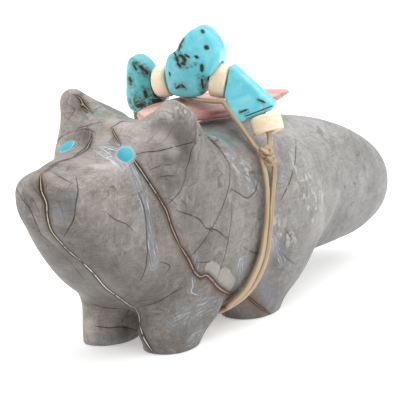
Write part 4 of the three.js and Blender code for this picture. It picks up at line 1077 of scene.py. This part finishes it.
# Directions of the stone's worn grain: scale, offset, stretch and strength
STONE_GRAIN = [(0.9, 5, (0.5, 0.3, 3.2), 0.36), (0.8, 45, (0.35, 3.0, 0.9), 0.3),
               (1.0, 65, (3.2, 0.4, 0.5), 0.36), (2.0, 87, (0.3, 0.5, 2.5), 0.3)]
# Fine dark curves all over the stone: scale, offset, width, stretch and strength
STONE_HAIRLINES = [(0.16, 3, 0.008, (1, 1, 1), 0.45), (0.2, 27, 0.008, (1, 0.5, 1.6), 0.4),
                   (0.3, 59, 0.012, (1.5, 1, 0.5), 0.3)]
# Healed veins: tones of the stained stone beside them, the margin and the core
STONE_VEINS = {"cream": ("4f4336", "17110a", "b9ad96"), "white": ("574e45", "29231c", "ded7c8"),
               "rust": ("4b3226", "1f0e09", "a98172"), "tan": ("5f4c3a", "3a2818", "7d6246")}


def veined_stone():
    s = Shade("veined_stone")
    stone_ground(s)
    for name, (code, strength) in STONE_AREAS.items():
        s.cover(s.area(name), strength, code)
    patch = s.mix(s.noise(1.2, 4.0, 0.6), tone("958f89"), tone("bab4ac"))
    s.colour = s.mix(s.times(s.area("patch", 0.45, 1.5, 1.1, 0.85), 0.8), s.colour, patch)
    speck = s.rise(s.noise(0.9, 3.0, 0.55, offset=71), 0.52, 0.62)
    s.cover(s.times(speck, s.area("speckled")), 0.7, "bcbab4")
    stone_strokes_and_glints(s)
    s.tint(s.line("scratch"), 1.1, 0.4, 0.75, "bfc6cc")
    # Painted light and shade, partly the stone's own tone: the colour scaled by the stored gain
    s.colour = s.vector("SCALE", s.colour, s.attribute("gain"))
    crack = stone_cracks(s)
    groove = stone_veins(s)
    rim = s.math("ADD", s.attribute("eye_ring"), s.times(s.noise(3.0), 0.3))
    s.tint(rim, 1.54, 1.42, 0.6, "b4b9b8")
    height = s.scaled(s.noise(0.45, 5.0, 0.5), 0.35, s.times(s.noise(5.0, 3.0, 0.7), 0.06))
    height = s.math("SUBTRACT", height, s.times(crack, 0.22))
    s.bump(s.math("SUBTRACT", height, s.times(groove, 0.14)), 0.5, 0.12)
    rough = s.scaled(s.noise(0.6, 5.0, 0.6, offset=13), 0.24, 0.3)
    s.shader.inputs["Specular IOR Level"].default_value = 0.3
    return s.finish(s.math("ADD", rough, s.times(crack, 0.2)))


def stone_ground(s):
    """The stone without its marks: warm and dark in front and below, cooler and paler behind."""
    behind = s.rise(s.axis(1), -24.0, 16.0)
    warm = s.mix(s.rise(s.noise(0.11, 4.0, 0.6, 0.8), 0.35, 0.68), tone("746e69"), tone("8b8580"))
    cool = s.mix(s.rise(s.noise(0.16, 4.0, 0.6, 0.8, offset=9), 0.35, 0.7), tone("80807e"), tone("949492"))
    s.colour = s.mix(behind, warm, cool)
    s.cover(s.times(s.rise(s.axis(2), 17.0, 5.0), s.rise(s.axis(1), 10.0, -14.0)), 0.4, "645c54")
    in_front = s.math("SUBTRACT", 1.0, s.times(behind, 0.6))
    brown = s.rise(s.noise(0.15, 5.0, 0.6, 1.2, offset=31), 0.48, 0.7)
    s.cover(s.times(brown, in_front), 0.4, "6e6156")
    for scale, offset, stretch, strength in STONE_GRAIN:
        worn = s.noise(scale, 4.0, 0.7, 0.4, offset=offset, stretch=stretch)
        s.tint(worn, 0.53, 0.72, strength * 0.7, "b2aeaa")
        s.tint(worn, 0.47, 0.28, strength, "4d4742")
    mottle = s.noise(0.42, 6.0, 0.62, 0.9, offset=57)
    s.tint(mottle, 0.52, 0.68, 0.34, "aaa6a2")
    s.tint(mottle, 0.48, 0.33, 0.34, "544d48")
    grain = s.noise(4.0, 4.0, 0.75)
    s.tint(grain, 0.5, 0.8, 0.3, "b9b5b0")
    s.tint(grain, 0.5, 0.22, 0.34, "4b4540")


def stone_strokes_and_glints(s):
    """Bands of fine pale blue strokes; those on the near front leg are painted highlight streaks."""
    uneven = s.scaled(s.noise(0.8, 4.0), 0.9, -0.45)
    band = s.rise(s.math("ADD", s.attribute("brush_near"), uneven), 1.25, 0.5)
    place = s.strand_place("brush_across", "brush_along")
    strokes = s.noise(1.0, 3.0, 0.65, 0.15, place=place, stretch=(4.2, 0.3, 1))
    s.cover(band, 0.28, "8b929b")
    s.cover(s.times(s.rise(strokes, 0.44, 0.32), band), 0.55, "48484c")
    # Pale blue strokes: painted highlight streaks on the near front leg, pale strokes elsewhere
    s.cover(s.times(s.rise(strokes, 0.54, 0.68), band), 0.9, "c4cdd6")


def hairlines(s, scale, offset, width, stretch):
    """Long thin curves: where a smooth noise passes its middle value, here and there."""
    wave = s.noise(scale, 1.0, 0.5, 0.6, offset=offset, stretch=stretch)
    line = s.rise(s.math("ABSOLUTE", s.math("SUBTRACT", wave, 0.5)), width, width * 0.3)
    return s.times(line, s.rise(s.noise(0.3, 3.0, offset=offset + 7), 0.48, 0.6))


def hidden_cracks(s):
    """A sparse network of cracks on the sides that the photograph hides."""
    wander = s.node("TexNoise", {"Vector": s.mm, "Scale": 0.12, "Detail": 3.0})["Color"]
    wander = s.vector("SCALE", s.vector("SUBTRACT", wander, (0.5, 0.5, 0.5)), 9.0)
    inputs = {"Vector": s.vector("ADD", s.mm, wander), "Scale": 0.062}
    edges = s.node("TexVoronoi", inputs, feature="DISTANCE_TO_EDGE")["Distance"]
    some = s.rise(s.noise(0.09, 2.0, offset=23), 0.45, 0.56)
    hidden = s.rise(s.attribute("seen"), 0.5, 0.2)
    return s.times(s.times(s.rise(edges, 0.01, 0.002), s.times(some, hidden)), 0.45)


def stone_cracks(s):
    """Hairline cracks, drawn and made up."""
    distance = s.line("crack", 0.25)
    faded = s.rise(s.noise(0.7, 3.0, offset=41), 0.27, 0.44)
    for scale, offset, width, stretch, strength in STONE_HAIRLINES:
        s.cover(hairlines(s, scale, offset, width, stretch), strength, "2c2622")
    s.cover(s.times(s.rise(distance, 4.0, 0.6), faded), 0.16, "5e5650")
    crack = s.math("MAXIMUM", s.times(s.rise(distance, 1.15, 0.4), faded), hidden_cracks(s))
    s.cover(crack, 0.78, "1b1613")
    return crack


def stone_veins(s):
    """Healed veins: a pale core between dark margins that stain the stone beside them."""
    groove = 0.0
    for name, (stain, margin, core) in STONE_VEINS.items():
        distance = s.line(name)
        s.tint(distance, 3.2, 0.8, 0.55, stain)
        edge = s.rise(distance, 1.3, 0.7)
        s.cover(edge, 0.9, margin)
        kept = s.rise(s.noise(0.9, 2.0, offset=19), 0.3, 0.45)
        s.cover(s.times(s.rise(distance, 0.27, 0.1), kept), 1.0, core)
        groove = s.math("MAXIMUM", groove, edge)
    return groove


def turquoise(name, light, deep, matrix_share):
    """Turquoise with brown matrix in spots, pits and hairlines; matrix_share from 0 to 1."""
    s = Shade(name)
    s.colour = s.mix(s.rise(s.noise(0.35, 5.0, 0.6, 1.0), 0.35, 0.7), tone(deep), tone(light))
    s.tint(s.noise(0.9, 5.0, 0.6, offset=3), 0.52, 0.75, 0.4, "a2e2ea")
    s.tint(s.noise(0.4, 4.0, 0.6, offset=37), 0.52, 0.72, 0.15 + 0.3 * matrix_share, "47a79c")
    blot_from = 0.73 - 0.1 * matrix_share
    blot = s.rise(s.noise(1.2, 6.0, 0.62, 0.8, offset=91), blot_from, blot_from + 0.03)
    s.cover(blot, 0.8, "2f3526")
    drawn_area = s.area("matrix", 0.5, 1.6)
    dark_from = 0.5 - 0.08 * matrix_share
    inside = s.times(drawn_area, s.rise(s.noise(2.0, 5.0, 0.7, offset=7), dark_from, dark_from + 0.09))
    s.cover(drawn_area, 0.38, "4f8478")
    s.cover(inside, 0.9, "3b321f")
    spot = s.line("seam", 0.3)
    s.tint(spot, 2.3, 0.8, 0.55, "54664f")
    dark = s.rise(spot, 1.2, 0.75)
    s.cover(dark, 0.96, "15120d")
    pits = s.math("MAXIMUM", blot, s.math("MAXIMUM", dark, inside))
    s.bump(s.scaled(s.noise(0.8, 5.0, 0.55, offset=77), 0.5, s.times(pits, -0.3)), 0.5, 0.14)
    return s.finish(s.scaled(pits, 0.3, 0.26))


def eye_turquoise():
    s = Shade("eye_turquoise")
    s.colour = s.mix(s.noise(0.9, 3.0), tone("309db3"), tone("4fb6c8"))
    s.tint(s.noise(3.5, 3.0, offset=11), 0.62, 0.72, 0.35, "2b93a6")
    s.tint(s.attribute("from_axis"), 0.92, 1.04, 0.6, "a9c6c4")
    s.bump(s.noise(1.5, 3.0), 0.15, 0.05)
    return s.finish(s.scaled(s.noise(2.0), 0.1, 0.26))


def cream_shell():
    s = Shade("cream_shell")
    layers = s.noise(0.8, 4.0, 0.6, 0.6, stretch=(1, 1, 2.5))
    s.colour = s.mix(s.rise(layers, 0.3, 0.75), tone("f0dcba"), tone("f7ecd8"))
    s.tint(s.noise(0.45, 3.0, offset=15), 0.48, 0.7, 0.4, "ecc6a0")
    s.tint(s.attribute("from_axis"), 1.5, 0.6, 0.45, "b98e62")
    s.tint(s.noise(2.2, 3.0, stretch=(4, 1, 1), offset=8), 0.62, 0.72, 0.12, "c79f73")
    s.bump(s.noise(1.6, 4.0), 0.3, 0.06)
    s.shader.inputs["Subsurface Weight"].default_value = 0.15
    s.shader.inputs["Subsurface Scale"].default_value = 0.6 * MM
    return s.finish(s.scaled(s.noise(1.2), 0.15, 0.3))


def pink_shell():
    s = Shade("pink_shell")
    place = s.strand_place()
    wide = s.noise(1.0, 3.0, 0.6, 0.15, place=place, stretch=(0.75, 0.03, 1))
    fine = s.noise(1.0, 4.0, 0.65, 0.1, place=place, stretch=(3.0, 0.06, 1), offset=6)
    s.colour = s.mix(s.rise(wide, 0.38, 0.66), tone("d2928a"), tone("e9b9b0"))
    s.tint(fine, 0.52, 0.66, 0.85, "f4ddd4")
    s.tint(fine, 0.46, 0.34, 0.65, "a95a56")
    # Painted shade: the blade darkened to maroon towards its edges
    s.tint(s.attribute("edge"), 0.75, 1.0, 0.55, "8e4542")
    s.tint(s.attribute("along"), -12.6, -14.2, 0.6, "ecd9c4")
    s.bump(fine, 0.3, 0.05)
    return s.finish(s.scaled(wide, 0.15, 0.26))


def waxed_sinew():
    s = Shade("waxed_sinew")
    place = s.strand_place()
    fibre = s.noise(1.0, 4.0, 0.65, 0.2, place=place, stretch=(3.5, 0.22, 1))
    strand = s.noise(1.0, 2.0, 0.5, 0.2, place=place, stretch=(1.2, 0.08, 1), offset=4)
    s.colour = s.mix(s.rise(strand, 0.35, 0.65), tone("a48a6c"), tone("bba586"))
    s.tint(fibre, 0.5, 0.72, 0.6, "d8c6aa")
    s.tint(fibre, 0.46, 0.28, 0.6, "735940")
    s.tint(s.math("ABSOLUTE", s.attribute("across")), 0.7, 1.0, 0.4, "6a4b31")
    s.bump(fibre, 0.7, 0.1)
    return s.finish(s.scaled(fibre, 0.25, 0.34))


def far_marks(field):
    """Marks on the sides that the photograph hides: drawn lines led over to the far side."""
    marks = {"rust": [], "crack": [], "cream": []}
    for name, width, pixels, shift in FAR_LINES:
        line = seen_at(field, pixel_line(pixels, 3.0)) * np.array([-1, 1, 1]) + np.array(shift)
        marks[name].append((width, stand_off(field, line, 0)))
    return marks


def drawn(field, lines):
    """Lines given by pixels as lines on the surface of a field, with their widths."""
    marks = [(width, seen_at(field, pixel_line(pixels))) for width, pixels in lines]
    return [mark for mark in marks if len(mark[1])]


def sculpt(points, normals, field):
    """Raises and lowers the surface along the strokes of RELIEF, and keeps the soles flat."""
    shift = np.zeros(len(points))
    for height, width, pixels in RELIEF:
        near = line_distances(points, normals, drawn(field, [(width, pixels)]))[0]
        shift += height * np.exp(-near ** 2)
    moved = points + shift[:, None] * normals
    moved[:, 2] = np.maximum(moved[:, 2], np.minimum(points[:, 2], 0))
    return moved


def mark_stone(made, points, normals, field):
    """Stores how far each vertex of the stone lies from the drawn veins, cracks, strokes and areas."""
    far = far_marks(field)
    for name, lines in STONE_LINES.items():
        set_line(made, name, points, normals, drawn(field, lines) + far.get(name, []), FOX_CELL)
    for name, areas in STONE_TINTS.items():
        set_area(made, name, points, drawn(field, areas))
    set_band_frame(made, "brush", points, normals, drawn(field, STROKES_AND_GLINTS))
    set_light_shade_and_tone_gain(made, points, normals, field)
    set_values(made, "seen", smoothstep(normals @ camera_axes()[2], -0.05, 0.3))
    ring = np.full(len(points), 10.0)
    for side in EYE_PLACES:
        place, axis = eye_seat(side)
        beyond = np.maximum(np.linalg.norm(points - place, axis=1) - 3, 0)
        ring = np.minimum(ring, axis_distance(points, place, axis) + beyond)
    set_values(made, "eye_ring", ring)


def carve_fox(stone):
    points, faces = surface(fox, FOX_LOW, FOX_HIGH, FOX_CELL)
    normals = slope(fox, points)
    made = add_piece("fox_stone", sculpt(points, normals, fox), faces, stone, "carved_fox")
    mark_stone(made, points, normals, fox)


def axis_distance(points, place, axis):
    rest = points - place
    return np.linalg.norm(rest - (rest @ axis)[:, None] * axis, axis=1)


def eye_seat(side):
    """Where an eye's middle lies on the stone, and the way it faces."""
    place = stand_off(carving, EYE_PLACES[side], 0)
    return place[0], slope(carving, place)[0]


def set_eye(side, material):
    """A round plug with a low dome."""
    place, axis = eye_seat(side)
    radius = EYE_DIAMETER / 2
    profile = [(0.001, -1.2), (radius * 0.96, -1.2), (radius, -1.1), (radius, -0.05)]
    for share in np.linspace(0, 1, 13):
        angle = share * math.pi / 2
        reach = radius * (0.2 + 0.8 * math.cos(angle) - 0.2 * share) + 0.001
        profile.append((reach, -0.05 + 0.27 * math.sin(angle)))
    points, faces = lathe(profile, 64, place, axis)
    made = add_piece(side + "_eye", points, faces, material, side + "_eye_inlay")
    set_values(made, "from_axis", axis_distance(points, place, axis))


def turn_bead(side, material):
    """A disc bead with worn edges; gives its middle, axis, radius and half length with some room."""
    diameter, thickness, toward = BEADS[side]
    middle, axis = disc_axis("shell_bead_" + side, toward)
    outer, half = diameter / 2, thickness / 2
    profile = [(BEAD_BORE, 0), (BEAD_BORE, BEAD_CHAMFER - half)]
    for a in np.linspace(0, np.pi / 2, 5):
        reach = BEAD_BORE + BEAD_CHAMFER * (1 - math.cos(a))
        profile.append((reach, BEAD_CHAMFER * (1 - math.sin(a)) - half))
    for a in np.linspace(0, np.pi / 2, 7):
        reach = outer - BEAD_WORN * (1 - math.sin(a))
        profile.append((reach, BEAD_WORN * (1 - math.cos(a)) - half))
    profile += [(r, -h) for r, h in reversed(profile[1:])] + [(BEAD_BORE, 0)]
    points, faces = lathe(profile, 72, middle, axis, 0.008)
    made = add_piece("bead_" + side, points, faces, material, "shell_bead_" + side)
    set_values(made, "from_axis", axis_distance(points, middle, axis))
    return middle, axis, outer + BEAD_SEAT_GAP, half + BEAD_SEAT_GAP


def shape_nugget(side, string, seats):
    """A nugget with its thread hole and the seats of the beads beside it."""
    nugget = NUGGETS[side]
    cad_node = "turquoise_nugget_" + side
    matrix = turn(0, 0, nugget["yaw"])
    place = box_middle(cad_node)
    outlines = nugget_outlines(nugget, place, matrix)
    low, high = np.concatenate(outlines).min(0) - 0.5, np.concatenate(outlines).max(0) + 0.5
    depth = nugget["depth"] * 0.65 + 0.5
    near_string = string[np.linalg.norm(string - place, axis=1) < 8][::2]

    def drilled(x, y, z):
        p = [value + place[i] for i, value in enumerate(turned(matrix, x, y, z))]
        form = nugget_field(x, y, z, nugget, outlines)
        form = trim(form, SINEW_DIAMETER / 2 + 0.1 - line_gap(*p, near_string), 0.2)
        for middle, axis, radius, reach in seats:
            q = [p[i] - middle[i] for i in range(3)]
            along = sum(q[i] * axis[i] for i in range(3))
            across = np.sqrt(np.maximum(sum(v * v for v in q) - along ** 2, 0))
            seat = np.maximum(across - radius - nugget["room"], np.abs(along) - reach)
            form = trim(form, -seat, 0.1)
        return form

    def hung(x, y, z):
        return nugget_field(*turned(matrix.T, x - place[0], y - place[1], z - place[2]), nugget, outlines)

    points, faces = surface(drilled, (low[0], -depth, low[1]), (high[0], depth, high[1]), NUGGET_CELL)
    points = points @ matrix.T + place
    material = turquoise("turquoise_" + side, *nugget["tones"])
    made = add_piece("nugget_" + side, points, faces, material, cad_node)
    normals = slope(hung, points)
    set_area(made, "matrix", points, drawn(hung, MATRIX_AREAS[side]))
    set_line(made, "seam", points, normals, drawn(hung, MATRIX_SEAMS[side]), NUGGET_CELL, False)


def knap_blade(material):
    """The shell blade: flattened rings that close at both ends."""
    rows, sides = ((220, 72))
    along = -np.cos(np.linspace(0, np.pi, rows + 2)[1:-1])
    end = np.clip((1 - np.abs(along)) / 0.02, 0, 1) ** 0.5
    along = 1 - BLADE_SHOWN * (1 - along)
    wide, thick = (BLADE_SWELL * half for half in blade_half_sizes(along))
    angle = 2 * np.pi * np.arange(sides) / sides
    across, up = (np.sign(v) * np.abs(v) ** (2 / BLADE_SQUARENESS) for v in (np.cos(angle), np.sin(angle)))
    lengthwise = np.repeat(along * BLADE_LENGTH / 2, sides)
    points = np.stack([(across * (wide * end)[:, None]).ravel(), lengthwise,
                       (up * (thick * end)[:, None]).ravel()], -1)
    points = points @ BLADE_MATRIX.T + np.array([*BLADE_PLACE, BLADE_HEIGHT + BLADE_LIFT])
    quads = grid_quads(rows, sides, False, True)
    made = add_piece("pink_blade", points, quads, material, "shell_arrowhead")
    set_values(made, "along", lengthwise)
    set_values(made, "across", (across * wide[:, None]).ravel())
    set_values(made, "edge", np.tile(np.abs(across), rows))


def tie_sinew(girth, string, knot, material):
    """The two strands and the knot, as one piece."""
    runs = [(draw_over(evenly(spline(girth), 0.2), GIRTH_DRAWN), True),
            (draw_over(string[::2], STRING_DRAWN), True)]
    runs += [(run, False) for run in knot_runs(knot)]
    points, faces, along, across = [], [], [], []
    for run, closed in runs:
        count = sum(len(part) for part in points)
        half = STRAND_HALF + STRAND_WIDENING * smoothstep(pixels_of(run)[1], 215, 262)
        made_points, quads = tube(run, half, STRAND_SIDES, closed, STRAND_FLATNESS)
        points.append(made_points)
        faces.append(quads + count)
        along.append(np.repeat(np.arange(len(run)) * 0.2 + 50 * len(along), STRAND_SIDES))
        across.append(np.tile(np.sin(2 * np.pi * np.arange(STRAND_SIDES) / STRAND_SIDES), len(run)))
    points, faces = np.concatenate(points), np.concatenate(faces)
    made = add_piece("sinew_strands", points, faces, material, "sinew_tie")
    set_values(made, "across", np.concatenate(across))
    set_values(made, "along", np.concatenate(along))


def knot_runs(knot):
    """Two small hard loops of an overhand knot, one over the other."""
    out = slope(carving, knot[None])[0]
    up = np.array([0.0, 0.0, 1.0]) - out * out[2]
    up /= np.linalg.norm(up)
    beside = np.cross(up, out)
    runs = []
    for height, size, start in KNOT_LOOPS:
        t = np.linspace(0, 2 * np.pi, 60)
        sideways = np.cos(2 * t + start) * (size + 0.16 * np.cos(3 * t))
        upward = height + np.sin(2 * t + start) * (size * 0.7 + 0.12 * np.cos(3 * t))
        outward = 0.42 * np.sin(3 * t)
        loop = knot + np.outer(sideways, beside) + np.outer(upward, up) + np.outer(outward, out)
        runs.append(evenly(loop, 0.12, False))
    return runs


def place_in_scene(name, data, place, target):
    """A light or camera at a place, looking at a target, in metres."""
    made = bpy.data.objects.new(name, data)
    bpy.context.scene.collection.objects.link(made)
    made.location = place
    way = Vector(target) - Vector(place)
    made.rotation_euler = way.to_track_quat("-Z", "Y").to_euler()
    return made


def add_light(name, place, size, power):
    data = bpy.data.lights.new(name, "AREA")
    data.shape = "SQUARE"
    data.size = size
    data.energy = power
    place_in_scene(name, data, place, LIGHT_TARGET)


def set_camera():
    data = bpy.data.cameras.new("camera")
    data.sensor_width = SENSOR
    data.lens = SENSOR * FOCAL_PIXELS / FRAME_PIXELS
    data.clip_start = 0.01
    data.clip_end = 20.0
    target = (CAMERA_TARGET + ORIGIN) * MM
    place = target + camera_axes()[2] * CAMERA_DISTANCE * MM
    bpy.context.scene.camera = place_in_scene("camera", data, place, target)


def lay_floor():
    """A large sheet of pale paper that glows a little, so that the shadow on it stays faint."""
    s = Shade("floor_paper")
    s.colour = s.mix(s.noise(0.02), (0.92, 0.92, 0.92), (0.95, 0.95, 0.95))
    s.shader.inputs["Emission Color"].default_value = (1, 1, 1, 1)
    s.shader.inputs["Emission Strength"].default_value = FLOOR_GLOW
    mesh = bpy.data.meshes.new("floor")
    corners = [(x * FLOOR_REACH, y * FLOOR_REACH, 0) for x, y in ((-1, -1), (1, -1), (1, 1), (-1, 1))]
    mesh.from_pydata(corners, [], [(0, 1, 2, 3)])
    mesh.materials.append(s.finish(0.8))
    floor = bpy.data.objects.new("floor", mesh)
    bpy.context.scene.collection.objects.link(floor)


def light_studio():
    """Even white surroundings, a wide light overhead and a small one from the side."""
    world = bpy.data.worlds.new("studio")
    world.use_nodes = True
    background = world.node_tree.nodes["Background"]
    background.inputs["Color"].default_value = (1, 1, 1, 1)
    background.inputs["Strength"].default_value = WORLD_STRENGTH
    bpy.context.scene.world = world
    bpy.context.scene.view_settings.view_transform = "Standard"
    for name, place, size, power in LIGHTS:
        add_light(name, place, size, power)


def main():
    carve_fox(veined_stone())
    blue = eye_turquoise()
    for side in EYE_PLACES:
        set_eye(side, blue)
    cream = cream_shell()
    seats = [turn_bead(side, cream) for side in ROW]
    knap_blade(pink_shell())
    girth = girth_points()
    knot = stand_off(carving, KNOT_PLACE, KNOT_DIAMETER / 2 + REST_GAP)[0]
    string = bead_string(girth, knot)
    for side in ROW:
        shape_nugget(side, string, seats)
    tie_sinew(girth, string, knot, waxed_sinew())
    set_camera()
    lay_floor()
    light_studio()


main()
